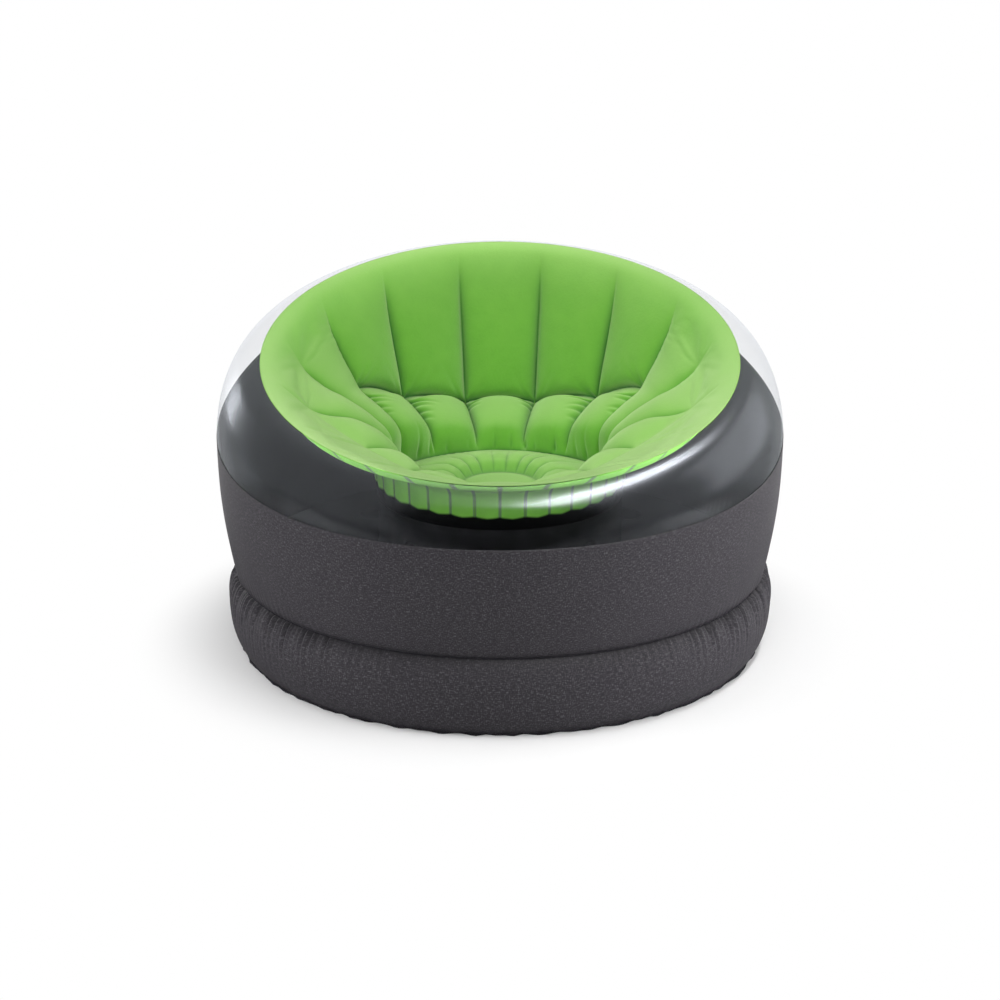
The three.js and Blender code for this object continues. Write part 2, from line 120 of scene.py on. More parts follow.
studio = {
    "worldStrength": 0.2,
    "roomTone": 0.5,
    "wallFrom": 0.1,
    "wallTo": 0.85,
    "floorSize": 14,
    "floorDrop": 0.0004,
    "floorTone": 0.9,
    "floorMirroredTone": 0.3,
    "floorWhiteFrom": 0.48,
    "floorWhiteTo": 0.74,
}

# a mirrored lamp shows in reflections only, and any other lamp lights the chair and isn't reflected
lamps = {
    "overheadStrip": {"place": (1.1, -0.65, 3.1), "aim": (1.1, -0.65, 0), "size": (0.34, 2.9), "turn": -20,
                      "watts": 57},
    "streakStrip": {"place": (1.1, -0.65, 3.1), "aim": (1.1, -0.65, 0), "size": (0.72, 2.9), "turn": -20,
                    "watts": 140, "mirrored": True},
    "leftKey": {"place": (-2.2, -0.6, 2.7), "aim": (0.15, 0.1, 0.35), "size": (2.4, 2.4), "watts": 33},
    "leftBox": {"place": (-2.6, 1.95, 1.0), "aim": (0, 0, 0.35), "size": (0.45, 1.1), "watts": 12,
                "mirrored": True},
    "rightBox": {"place": (3.2, 0.8, 1.6), "aim": (0, 0, 0.35), "size": (2.8, 2.6), "watts": 34,
                 "mirrored": True},
    "rightFill": {"place": (2.7, -0.9, 0.3), "aim": (0.4, -0.3, 0.2), "size": (1.2, 0.4), "watts": 112},
    "leftFill": {"place": (-2.7, -0.9, 0.3), "aim": (-0.4, -0.3, 0.2), "size": (1.2, 0.4), "watts": 62},
    "frontFill": {"place": (-0.3, -2.9, 1.15), "aim": (0, 0, 0.35), "size": (1.6, 0.3), "watts": 25},
}


def aimAt(thing, target):
    direction = Vector(target) - thing.location
    thing.rotation_euler = direction.to_track_quat("-Z", "Y").to_euler()


def addCamera():
    bpy.ops.object.camera_add(location=cameraView["place"])
    camera = bpy.context.object
    camera.name = "photoCamera"
    camera.data.sensor_width = cameraView["sensor"]
    camera.data.lens = cameraView["lens"]
    aimAt(camera, cameraView["lookAt"])
    scene.camera = camera


def addLamp(name, place, aim, size, watts, turn=0, mirrored=False):
    bpy.ops.object.light_add(type="AREA", location=place)
    lamp = bpy.context.object
    lamp.name = name
    lamp.data.shape = "RECTANGLE"
    lamp.data.size, lamp.data.size_y = size
    lamp.data.energy = watts
    lamp.visible_diffuse = not mirrored
    lamp.visible_glossy = mirrored
    aimAt(lamp, aim)
    lamp.rotation_euler.rotate_axis("Z", math.radians(turn))


def behindChair(tree, way, least, place):
    # 0 or least in front of the chair, 1 well behind it
    across = splitVector(tree, way, (place[0] - 200, place[1]))["Y"]
    return smoothStep(tree, across, studio["wallFrom"], studio["wallTo"], place, least)


def buildWorld():
    world = bpy.data.worlds.new("studioWorld")
    scene.world = world
    world.use_nodes = True
    tree = world.node_tree
    tree.nodes.clear()
    out = addNode(tree, "ShaderNodeOutputWorld", (600, 0))
    strength = studio["worldStrength"]
    soft = addNode(tree, "ShaderNodeBackground", (0, 100), Color=(1, 1, 1, 1), Strength=strength)
    white = addNode(tree, "ShaderNodeBackground", (0, -100), Color=(1, 1, 1, 1), Strength=1)
    path = addNode(tree, "ShaderNodeLightPath", (-600, 300)).outputs
    # reflections see a white wall behind the chair and a dim room in front of it
    way = addNode(tree, "ShaderNodeTexCoord", (-1000, 0)).outputs["Generated"]
    behind = behindChair(tree, way, studio["roomTone"], (-600, 0))
    mirrored = mathNode(tree, "MULTIPLY", behind, path["Is Glossy Ray"], place=(-400, 100))
    seen = mathNode(tree, "MAXIMUM", path["Is Camera Ray"], mirrored, place=(-200, 300))
    either = mathNode(tree, "MAXIMUM", seen, path["Is Transmission Ray"], place=(0, 300))
    tree.links.new(mixShaders(tree, either, soft.outputs[0], white.outputs[0], (300, 0)), out.inputs[0])


def buildFloor():
    # a pale lit floor that keeps the shadow; away from the chair it turns white for the camera
    bpy.ops.object.select_all(action="DESELECT")
    bpy.ops.mesh.primitive_plane_add(size=studio["floorSize"], location=(0, 0, -studio["floorDrop"]))
    floor = bpy.context.object
    floor.name = "studioFloor"
    material, tree, out = newMaterial("paleFloor")
    pale = (*(studio["floorTone"],) * 3, 1)
    dull = (*(studio["floorMirroredTone"],) * 3, 1)
    matte = addNode(tree, "ShaderNodeBsdfDiffuse", (0, 100), Color=pale).outputs[0]
    dim = addNode(tree, "ShaderNodeBsdfDiffuse", (0, 250), Color=dull).outputs[0]
    white = addNode(tree, "ShaderNodeEmission", (0, -100), Color=(1, 1, 1, 1), Strength=1).outputs[0]
    path = addNode(tree, "ShaderNodeLightPath", (-600, 500)).outputs
    place = addNode(tree, "ShaderNodeTexCoord", (-900, 200)).outputs["Object"]
    far = addNode(tree, "ShaderNodeVectorMath", (-700, 200))
    far.operation = "LENGTH"
    tree.links.new(place, far.inputs[0])
    whiteFrom, whiteTo = studio["floorWhiteFrom"], studio["floorWhiteTo"]
    share = smoothStep(tree, far.outputs["Value"], whiteFrom, whiteTo, (-500, 200))
    seen = mathNode(tree, "MAXIMUM", path["Is Camera Ray"], path["Is Transmission Ray"], place=(-400, 500))
    both = mathNode(tree, "MULTIPLY", share, seen, place=(-200, 300))
    behind = behindChair(tree, place, 0, (-500, 0))
    mirrored = mixShaders(tree, behind, dim, white, (0, 400))
    lower = mixShaders(tree, path["Is Glossy Ray"], matte, mirrored, (150, 150))
    tree.links.new(mixShaders(tree, both, lower, white, (300, 0)), out.inputs[0])
    floor.data.materials.append(material)


scene.view_settings.view_transform = "Standard"
addCamera()
buildWorld()
buildFloor()
for lampName, lamp in lamps.items():
    addLamp(lampName, **lamp)
print("camera and studio ready")


# The forms of the chair, as the CAD has them

chairForm = {
    "skin": 0.0005,
    "weldGap": 0.0003,
    "weldWidth": 0.008,
    "bodyRadius": 0.55,
    "waistRadius": 0.52,
    "waistHeight": 0.15,
    "baseBulgeRadius": 0.538,
    "baseContactRadius": 0.511,
    "bottomFlange": 0.006,
    "seamHeight": 0.468,
    "seamTilt": 0.133,
    "seamDip": 0.028,
    "rimRadius": 0.46,
    "rimForward": 0.02,
    "rimHeight": 0.58,
    "rimTilt": 0.1235,
    "creaseRadius": 0.24,
    "creaseHeight": 0.3,
    "discRadius": 0.075,
    "discHeight": 0.304,
    "flutes": 16,
    "wallRoundness": 2.5,
    "baseRoundness": 2.6,
}
fullTurn = 2 * math.pi
sheetPitch = chairForm["skin"] + chairForm["weldGap"]
flutePitch = fullTurn / chairForm["flutes"]

# bucket profile from the rim to the crease: share of the way in and of the way down
profileRows = {
    "back": ((0, 0), (0.07, 0.05), (0.13, 0.27), (0.25, 0.58), (0.38, 0.83), (0.6, 0.865), (0.86, 0.92),
             (1, 1)),
    "side": ((0, 0), (0.12, 0.06), (0.3, 0.24), (0.49, 0.38), (0.67, 0.48), (0.87, 0.6), (1, 0.74), (1, 1)),
    "front": ((0, 0), (0.12, 0.07), (0.32, 0.17), (0.55, 0.28), (0.75, 0.38), (0.92, 0.49), (1, 0.68),
              (1, 1)),
}
lastRow = 7


def smoothThrough(values, t):
    # a smooth line through evenly spaced values that never overshoots them
    v = np.asarray(values, float)
    step = np.diff(v)
    slope = np.zeros(len(v))
    turning = step[:-1] * step[1:]
    product = np.where(turning > 0, 2 * turning, 0)
    total = np.where(turning > 0, step[:-1] + step[1:], 1)
    slope[1:-1] = product / total
    slope[0], slope[-1] = step[0], step[-1]
    i = np.clip(np.floor(t).astype(int), 0, len(v) - 2)
    f = np.clip(t - i, 0, 1)
    a = (1 + 2 * f) * (1 - f) ** 2
    b = f * (1 - f) ** 2
    c = f * f * (3 - 2 * f)
    d = f * f * (f - 1)
    return a * v[i] + b * slope[i] + c * v[i + 1] + d * slope[i + 1]


def fade(away, width):
    # 1 on a line, and a sharp fall to both sides of it
    return np.exp(-np.abs(away) / width)


def bell(away, width):
    # 1 on a line, and a rounded fall to both sides of it
    return np.exp(-(away / width) ** 2)


def ringPoint(radius, angle, height):
    angle = np.asarray(angle, float)
    flat = radius * np.sin(angle)
    return np.stack([flat, -radius * np.cos(angle), height + 0 * flat], -1)


def seamHeight(angle):
    tilt, dip = chairForm["seamTilt"], chairForm["seamDip"]
    return chairForm["seamHeight"] - tilt * np.cos(angle) + dip * np.cos(2 * angle)


def rimPoint(angle):
    height = chairForm["rimHeight"] - chairForm["rimTilt"] * np.cos(angle)
    point = ringPoint(chairForm["rimRadius"], angle, height)
    point[..., 1] -= chairForm["rimForward"]
    return point


def profileShare(axis, angle, t):
    back, side, front = (smoothThrough([row[axis] for row in rows], t) for rows in profileRows.values())
    facing = np.cos(angle)
    return side + (front - back) / 2 * facing + ((front + back) / 2 - side) * facing * facing


def groovePoint(angle, t):
    rim = rimPoint(angle)
    crease = ringPoint(chairForm["creaseRadius"], angle, chairForm["creaseHeight"])
    inShare = profileShare(0, angle, t)[..., None]
    point = rim + (crease - rim) * inShare
    point[..., 2] = rim[..., 2] + (crease[..., 2] - rim[..., 2]) * profileShare(1, angle, t)
    return point


def inwardsAt(angle):
    way = ringPoint(chairForm["creaseRadius"], angle, 0) - rimPoint(angle)
    way[..., 2] = 0
    return way / np.linalg.norm(way, axis=-1, keepdims=True)


def grooveNormal(angle, t, reach=0.5):
    along = groovePoint(angle, np.minimum(t + reach, lastRow)) - groovePoint(angle, np.maximum(t - reach, 0))
    inwards = inwardsAt(angle)
    run = np.sum(along * inwards, -1)
    normal = inwards * -along[..., 2:3]
    normal[..., 2] = run
    return normal / np.linalg.norm(normal, axis=-1, keepdims=True)


def frontShare(angle):
    return np.maximum(0, np.cos(angle)) ** 2


def fromBack(angle):
    # degrees away from the back, positive towards the chair's right-hand side
    return np.degrees(((math.pi - angle + math.pi) % fullTurn) - math.pi)


def hashed(k, salt=0):
    # a steady number from 0 to 1 for each fold, the same at every run
    return (math.sin(k * 127.1 + salt * 311.7) * 43758.5453) % 1


# Making sheets

def deselectAll():
    bpy.ops.object.select_all(action="DESELECT")


def only(piece):
    deselectAll()
    piece.select_set(True)
    bpy.context.view_layer.objects.active = piece


def applyModifier(piece, kind, **values):
    only(piece)
    bpy.ops.object.modifier_add(type=kind)
    modifier = piece.modifiers[-1]
    for name, value in values.items():
        setattr(modifier, name, value)
    bpy.ops.object.modifier_apply(modifier=modifier.name)


def cutWith(piece, drill):
    applyModifier(piece, "BOOLEAN", object=drill, solver="EXACT")
    bpy.data.objects.remove(drill)


def readPoints(piece):
    flat = np.zeros(len(piece.data.vertices) * 3)
    piece.data.vertices.foreach_get("co", flat)
    return flat.reshape(-1, 3)


def movePoints(piece, points):
    piece.data.vertices.foreach_set("co", points.ravel())


def readShares(piece, label):
    values = np.zeros(len(piece.data.vertices), np.float32)
    piece.data.attributes[label].data.foreach_get("value", values)
    return values.astype(float)


def storeShares(piece, label, values):
    layer = piece.data.attributes.new(label, "FLOAT", "POINT")
    layer.data.foreach_set("value", values.astype(np.float32))


def readTurn(piece):
    return (np.arctan2(readShares(piece, "turnSin"), readShares(piece, "turnCos")) / fullTurn) % 1


def rollSheet(name, around, rows, pointsAt, uvSize=(3.4, 0.4)):
    # a flat grid is rolled round the chair, and its two ends are welded
    deselectAll()
    bpy.ops.mesh.primitive_grid_add(x_subdivisions=around, y_subdivisions=rows, size=1)
    piece = bpy.context.object
    piece.name = piece.data.name = name
    flat = readPoints(piece)
    across = np.round((flat[:, 0] + 0.5) * around) / around
    along = 0.5 - flat[:, 1]
    lastColumn = across > 1 - 1e-6
    placed = pointsAt(across, along)
    placed[lastColumn] = pointsAt(across * 0, along)[lastColumn]
    movePoints(piece, placed)
    # each point keeps its place on the flat sheet, for the steps that come later
    storeShares(piece, "turnSin", np.sin(fullTurn * across))
    storeShares(piece, "turnCos", np.cos(fullTurn * across))
    storeShares(piece, "along", along)
    layer = piece.data.uv_layers.active.data
    uv = np.zeros(len(layer) * 2)
    layer.foreach_get("uv", uv)
    layer.foreach_set("uv", (uv.reshape(-1, 2) * np.array(uvSize)).ravel())
    bpy.ops.object.mode_set(mode="EDIT")
    bpy.ops.mesh.select_all(action="SELECT")
    bpy.ops.mesh.remove_doubles(threshold=0.00002)
    bpy.ops.mesh.normals_make_consistent(inside=False)
    bpy.ops.object.mode_set(mode="OBJECT")
    bpy.ops.object.shade_smooth()
    return piece


def thicken(piece, material, lining=None):
    # half of the skin's thickness to each side of the sheet, and the lining's material on its inner face
    piece.data.materials.append(material)
    if lining:
        piece.data.materials.append(lining)
    innerFace = 1 if lining else 0
    applyModifier(piece, "SOLIDIFY", thickness=chairForm["skin"], offset=0, material_offset=innerFace)


def faceOutwards(piece, towards):
    # turns the sheet over if a sample of its faces looks away from the wanted side
    faces = list(piece.data.polygons)
    score = sum(face.normal.dot(Vector(towards(face.center))) for face in faces[::max(1, len(faces) // 200)])
    if score < 0:
        only(piece)
        bpy.ops.object.mode_set(mode="EDIT")
        bpy.ops.mesh.select_all(action="SELECT")
        bpy.ops.mesh.flip_normals()
        bpy.ops.object.mode_set(mode="OBJECT")


def awayFromAxis(centre):
    return (centre[0], centre[1], 0.2)


def towardsAxis(centre):
    return (-centre[0], -centre[1], 0.4)


def upwards(centre):
    return (0, 0, 1)


def finish(piece, slotName, *replaced):
    for label in ("turnSin", "turnCos", "along"):
        if label in piece.data.attributes:
            piece.data.attributes.remove(piece.data.attributes[label])
    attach(piece, "chair")
    if replaced:
        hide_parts(*replaced)


# Materials

def objectPlaces(tree, place=(-1100, 0)):
    return addNode(tree, "ShaderNodeTexCoord", place).outputs["Object"]


def pointShare(tree, label, place):
    node = addNode(tree, "ShaderNodeAttribute", place)
    node.attribute_name = label
    return node.outputs["Fac"]


def noiseAt(tree, coordinates, scale, detail=4, place=(-600, 0), stretch=None):
    noise = addNode(tree, "ShaderNodeTexNoise", place, Scale=scale, Detail=detail)
    source = coordinates
    if stretch:
        mapping = addNode(tree, "ShaderNodeMapping", (place[0] - 200, place[1]), Scale=stretch)
        tree.links.new(coordinates, mapping.inputs["Vector"])
        source = mapping.outputs["Vector"]
    tree.links.new(source, noise.inputs["Vector"])
    return noise.outputs["Fac"]


def ramp(tree, factor, stops, place=(-300, 0)):
    node = addNode(tree, "ShaderNodeValToRGB", place)
    node.color_ramp.elements[0].position = stops[0][0]
    node.color_ramp.elements[0].color = (*stops[0][1], 1)
    node.color_ramp.elements[1].position = stops[-1][0]
    node.color_ramp.elements[1].color = (*stops[-1][1], 1)
    for position, color in stops[1:-1]:
        element = node.color_ramp.elements.new(position)
        element.color = (*color, 1)
    tree.links.new(factor, node.inputs["Fac"])
    return node.outputs["Color"]


def bumpFrom(tree, height, strength, distance, place=(200, -300), below=None):
    bump = addNode(tree, "ShaderNodeBump", place, Strength=strength, Distance=distance)
    tree.links.new(height, bump.inputs["Height"])
    if below:
        tree.links.new(below, bump.inputs["Normal"])
    return bump.outputs["Normal"]


def mixColors(tree, factor, first, second, place=(0, 0), how="MIX"):
    node = tree.nodes.new("ShaderNodeMix")
    node.data_type = "RGBA"
    node.blend_type = how
    node.location = place
    feed(tree, node.inputs[0], factor)
    feed(tree, node.inputs[6], first)
    feed(tree, node.inputs[7], second)
    return node.outputs[2]


def coverWith(tree, out, color, normal=None, **sockets):
    # the body of a finish: its colour, its bump and its constant values
    body = addNode(tree, "ShaderNodeBsdfPrincipled", (550, 0), **sockets)
    tree.links.new(color, body.inputs["Base Color"])
    if normal:
        tree.links.new(normal, body.inputs["Normal"])
    tree.links.new(body.outputs[0], out.inputs[0])


flockLook = {
    "light": (0.165, 0.465, 0.044),
    "dark": (0.124, 0.4, 0.03),
    # painted shade: the colour the flock is darkened to in its creases
    "paintedShade": (0.018, 0.17, 0.028),
    # painted sheen: the paler colour for cloth that faces up to the lamps, and its largest share
    "paintedSheen": (0.33, 0.6, 0.155),
    "paintedSheenShare": 0.6,
    "patchScale": 26,
    "fibreScale": 900,
    "grainScale": 240,
}


def flockMaterial():
    material, tree, out = newMaterial("flockedGreen")
    coordinates = objectPlaces(tree)
    patches = noiseAt(tree, coordinates, flockLook["patchScale"], 5, (-700, 200))
    fibres = noiseAt(tree, coordinates, flockLook["fibreScale"], 3, (-700, -100))
    grain = noiseAt(tree, coordinates, flockLook["grainScale"], 4, (-700, -400))
    base = ramp(tree, patches, ((0.3, flockLook["dark"]), (0.7, flockLook["light"])), (-400, 200))
    speckled = mixColors(tree, grain, base, flockLook["light"], (-100, 200))
    # painted sheen: paler where the cloth faces up and along the back's rolled rim
    withPaintedSheen = mixColors(tree, pointShare(tree, "paintedSheen", (-400, 700)), speckled, flockLook["paintedSheen"], (50, 300))
    # painted shade: the flock turns darker green in its grooves, tucks, wrinkles and foot
    withPaintedShade = mixColors(tree, pointShare(tree, "paintedShade", (-400, 500)), withPaintedSheen, flockLook["paintedShade"], (250, 300))
    fine = bumpFrom(tree, fibres, 0.35, 0.0012, (200, -200))
    coverWith(tree, out, withPaintedShade, bumpFrom(tree, grain, 0.25, 0.002, (350, -350), fine), Roughness=0.92,
              Sheen_Weight=0.7, Sheen_Roughness=0.6, Sheen_Tint=(0.85, 1, 0.6, 1), Specular_IOR_Level=0.12)
    return material


heatherLook = {
    "dark": (0.0145, 0.0135, 0.016),
    "mid": (0.022, 0.0206, 0.0236),
    "light": (0.08, 0.0752, 0.0826),
    # painted shade: the colour the print is darkened to in the waist groove
    "paintedShade": (0.009, 0.0085, 0.01),
    "shade": (0.85, 0.83, 0.88),
    "weft": (110, 440, 1),
    "warp": (440, 140, 1),
    "toneScale": 11,
}


def heatherMaterial():
    # threads run round the chair and upright, so the pattern follows the sheet's own UV map, in metres
    material, tree, out = newMaterial("heatherPrint")
    uv = addNode(tree, "ShaderNodeUVMap", (-1500, 0)).outputs["UV"]
    weft = noiseAt(tree, uv, 1, 1, (-1000, 300), heatherLook["weft"])
    warp = noiseAt(tree, uv, 1, 1, (-1000, 50), heatherLook["warp"])
    tone = noiseAt(tree, uv, heatherLook["toneScale"], 3, (-1000, -450))
    crossed = mathNode(tree, "ADD", weft, warp, place=(-750, 200))
    threads = mathNode(tree, "MULTIPLY", crossed, 0.5, place=(-580, 200))
    stops = ((0.34, heatherLook["dark"]), (0.5, heatherLook["mid"]), (0.7, heatherLook["light"]))
    woven = ramp(tree, threads, stops, (-200, 100))
    toned = mixColors(tree, tone, woven, heatherLook["shade"], (100, 100), "MULTIPLY")
    # painted shade in the waist groove and between its gathers
    shaded = mixColors(tree, pointShare(tree, "paintedShade", (-200, 400)), toned, heatherLook["paintedShade"], (300, 100))
    weave = bumpFrom(tree, threads, 0.12, 0.0004, (200, -200))
    coverWith(tree, out, shaded, weave, Roughness=0.58, Specular_IOR_Level=0.3)
    return material


weldLook = {
    "cells": 32,
    "lineWidth": 0.09,
    "line": (0.2, 0.33, 0.17),
    # painted light: both greens are far paler than the green vinyl's own, to brighten the sheet in shade
    # under the rim
    "light": (0.34, 0.82, 0.135),
    "dark": (0.28, 0.72, 0.11),
    "footShare": 0.085,
    "footBlur": 0.008,
    "footArcs": 0.015,
    "foot": (0.006, 0.006, 0.007),
    "topShare": 0.33,
}


def weldedMaterial():
    # green sheet with thin upright weld lines, one for each half flute, from its UV map
    material, tree, out = newMaterial("weldedGreenPaintedLight")
    uv = addNode(tree, "ShaderNodeUVMap", (-1500, 0)).outputs["UV"]
    across, along = splitVector(tree, uv, (-1300, 0))[:2]
    wave = mathNode(tree, "MULTIPLY", across, weldLook["cells"], place=(-1100, 0))
    inCell = mathNode(tree, "PINGPONG", wave, 0.5, place=(-950, 0))
    line = smoothStep(tree, inCell, weldLook["lineWidth"], weldLook["lineWidth"] * 0.3, (-750, 0))
    # a short bar across the top of each line
    offBar = mathNode(tree, "SUBTRACT", along, weldLook["topShare"], place=(-1100, 300))
    bar = smoothStep(tree, mathNode(tree, "ABSOLUTE", offBar, place=(-950, 300)), 0.007, 0.003, (-750, 300))
    arm = smoothStep(tree, inCell, 0.34, 0.3, (-750, 500))
    shortBar = mathNode(tree, "MULTIPLY", bar, arm, place=(-500, 400))
    lines = mathNode(tree, "MAXIMUM", shortBar, line, place=(-300, 200))
    # the black weld strip of the ring web laps over the foot in shallow arcs
    arcs = mathNode(tree, "MULTIPLY_ADD", inCell, weldLook["footArcs"], along, (-500, -500))
    footShare, blur = weldLook["footShare"], weldLook["footBlur"]
    foot = smoothStep(tree, arcs, footShare + blur, footShare - blur, (-300, -500))
    patches = noiseAt(tree, objectPlaces(tree, (-1500, -300)), 25, 4, (-950, -300))
    # painted light: the paler greens stand in for light that does not reach the sheet under the rim
    base = ramp(tree, patches, ((0.3, weldLook["dark"]), (0.75, weldLook["light"])), (-500, -200))
    lined = mixColors(tree, lines, base, weldLook["line"], (-100, 0))
    color = mixColors(tree, foot, lined, weldLook["foot"], (100, 0))
    coverWith(tree, out, color, Roughness=0.5, Specular_IOR_Level=0.1)
    return material


def vinylMaterial(name, dark, light, roughness, speck=30, gloss=0.35):
    material, tree, out = newMaterial(name)
    coordinates = objectPlaces(tree)
    patches = noiseAt(tree, coordinates, speck, 4, (-700, 100))
    ripples = noiseAt(tree, coordinates, 35, 2, (-700, -200))
    color = ramp(tree, patches, ((0.3, dark), (0.75, light)), (-300, 100))
    coverWith(tree, out, color, bumpFrom(tree, ripples, 0.1, 0.002, (200, -200)), Roughness=roughness,
              Specular_IOR_Level=gloss)
    return material


clearLook = {
    "tint": (0.985, 0.987, 0.99),
    "gloss": (0.88, 0.92, 1.0),
    "roughness": 0.26,
    "glossByTilt": ((0, 0), (0.04, 0.004), (0.1, 0.036), (0.2, 0.045), (0.4, 0.05), (0.6, 0.065), (0.8, 0.11),
                    (1, 0.28)),
}


def clearMaterial():
    # a see-through film whose share of gloss grows as it is seen more from the side
    material, tree, out = newMaterial("clearVinyl")
    normal = bumpFrom(tree, noiseAt(tree, objectPlaces(tree), 9, 3, (-900, -300)), 0.02, 0.01, (-600, -300))
    facing = addNode(tree, "ShaderNodeLayerWeight", (-400, 300), Blend=0.5)
    stops = [(tilt, (gloss,) * 3) for tilt, gloss in clearLook["glossByTilt"]]
    share = ramp(tree, facing.outputs["Facing"], stops, (-100, 300))
    share.node.color_ramp.interpolation = "EASE"
    see = addNode(tree, "ShaderNodeBsdfTransparent", (200, 100), Color=(*clearLook["tint"], 1))
    body = addNode(tree, "ShaderNodeBsdfPrincipled", (200, -100), Base_Color=(*clearLook["gloss"], 1),
                   Metallic=1, Roughness=clearLook["roughness"])
    tree.links.new(normal, body.inputs["Normal"])
    tree.links.new(mixShaders(tree, share, see.outputs[0], body.outputs[0], (600, 0)), out.inputs[0])
    return material


flocked = flockMaterial()
heather = heatherMaterial()
clearVinyl = clearMaterial()
blackVinyl = vinylMaterial("blackVinyl", (0.02, 0.02, 0.023), (0.03, 0.029, 0.034), 0.75, 30, 0)
greenVinyl = vinylMaterial("greenVinyl", (0.16, 0.42, 0.05), (0.22, 0.5, 0.07), 0.55)
weldedGreenPaintedLight = weldedMaterial()
milkyPlastic = vinylMaterial("milkyPlastic", (0.62, 0.66, 0.66), (0.7, 0.74, 0.74), 0.3, 12)
print("materials ready")


# Bucket wall

bucketLook = {
    "columnsPerFlute": 20,
    "columnShift": 0.075,
    "rows": 94,
    "swell": 0.036,
    "frontSwell": 0.28,
    "swellRows": (0, 0.03, 0.62, 0.95, 1, 1, 0.8, 0),
    "grooveStarts": ((0, 0), (34, 0), (56, 0.15), (79, 0.7), (101, 1.1), (124, 3.2), (180, 3.4)),
    "grooveRadius": 0.29,
    "crownFlatness": 2.2,
    "crownPower": 0.62,
    "lumbarFlutes": 5,
    "tuckRows": ((0, 4), (11.25, 4), (33.75, 3.93), (56.25, 3.6)),
    "tuckRise": 0.2,
    "tuckPinch": 0.92,
    "tuckWidth": 0.012,
    "rowAboveTuck": 0.095,
    "rowBelowTuck": 0.055,
}

clothLook = {
    "quality": 5,
    "mass": 0.25,
    "stretch": 30,
    "shear": 12,
    "bending": 0.05,
    "pressure": 1.0,
    "slack": 0.06,
    "frames": 20,
    "furthest": 0.012,
}

creaseLook = {
    "rowStep": 0.045,
    "grooveCut": 0.004,
    "grooveWidth": 0.0035,
    "tuckCut": 0.006,
    "tuckWidth": 0.003,
    "wrinkleDepth": 0.0078,
    "wrinkleReach": 0.044,
    "wrinkleStep": 0.0165,
    "innerReach": 0.6,
    "cornerDepth": 0.004,
    "sideWrinkles": ((56.25, 1.35, 0.0012), (78.75, 2.2, 0.0008)),
    "pleats": (-55, -45, -36.8, -27, -15.3, -2.4, 5.5, 12.5, 17, 28, 41, 48),
    "pleatDepth": 0.0085,
    "pleatWidth": 0.0042,
    "darkest": 0.9,
}


def acrossFlute(angle):
    # -1 and 1 at the two grooves of a flute, 0 at its crown
    return 2 * ((angle / flutePitch + 0.5) % 1) - 1


def crownRound(angle):
    across = np.abs(acrossFlute(angle))
    return np.maximum(0, 1 - across ** bucketLook["crownFlatness"]) ** bucketLook["crownPower"]


def rowPositions(count):
    # rows spread by the length of the back profile, and closer together near the two creases
    t = np.linspace(0, lastRow, 800)
    line = groovePoint(np.full_like(t, math.pi), t)
    length = np.r_[0, np.cumsum(np.linalg.norm(np.diff(line, axis=0), axis=1))]
    close = 0.05 * np.tanh((t - 4.4) / 0.9) + 0.02 * np.tanh((t - lastRow) / 0.4)
    weight = length + close
    weight = (weight - weight[0]) / (weight[-1] - weight[0])
    return np.interp(np.linspace(0, 1, count), weight, t)


def isLumbarAt(angle):
    return np.abs(fromBack(angle)) * chairForm["flutes"] / 360 < bucketLook["lumbarFlutes"] / 2


def tuckRowAt(degrees):
    return np.interp(np.abs(degrees), *zip(*bucketLook["tuckRows"]))


def tuckDistance(angle, t):
    # metres below the scalloped tuck line of a lumbar cell
    tuckRow = tuckRowAt(fromBack(angle)) - bucketLook["tuckRise"] * crownRound(angle)
    return (t - tuckRow) * np.where(t > tuckRow, bucketLook["rowBelowTuck"], bucketLook["rowAboveTuck"])


def sideDistance(angle):
    # metres from the nearest groove, near the seat crease
    return (1 - np.abs(acrossFlute(angle))) * flutePitch / 2 * bucketLook["grooveRadius"]


def fluteDepth(angle, t):
    start = np.interp(np.abs(fromBack(angle)), *zip(*bucketLook["grooveStarts"]))
    delay = start * np.clip((6.2 - t) / 3, 0, 1)
    return smoothThrough(bucketLook["swellRows"], np.clip(t - delay, 0, lastRow))


def swellDepth(angle):
    # the flutes are shallower at the front
    return 1 + (bucketLook["frontSwell"] - 1) * frontShare(angle)


def bucketSurface(angle, t):
    swell = bucketLook["swell"] * swellDepth(angle) * fluteDepth(angle, t) * crownRound(angle)
    tuck = bucketLook["tuckPinch"] * fade(tuckDistance(angle, t), bucketLook["tuckWidth"])
    swell = np.where(isLumbarAt(angle), swell * (1 - tuck), swell)
    return groovePoint(angle, t) + grooveNormal(angle, t) * swell[..., None]


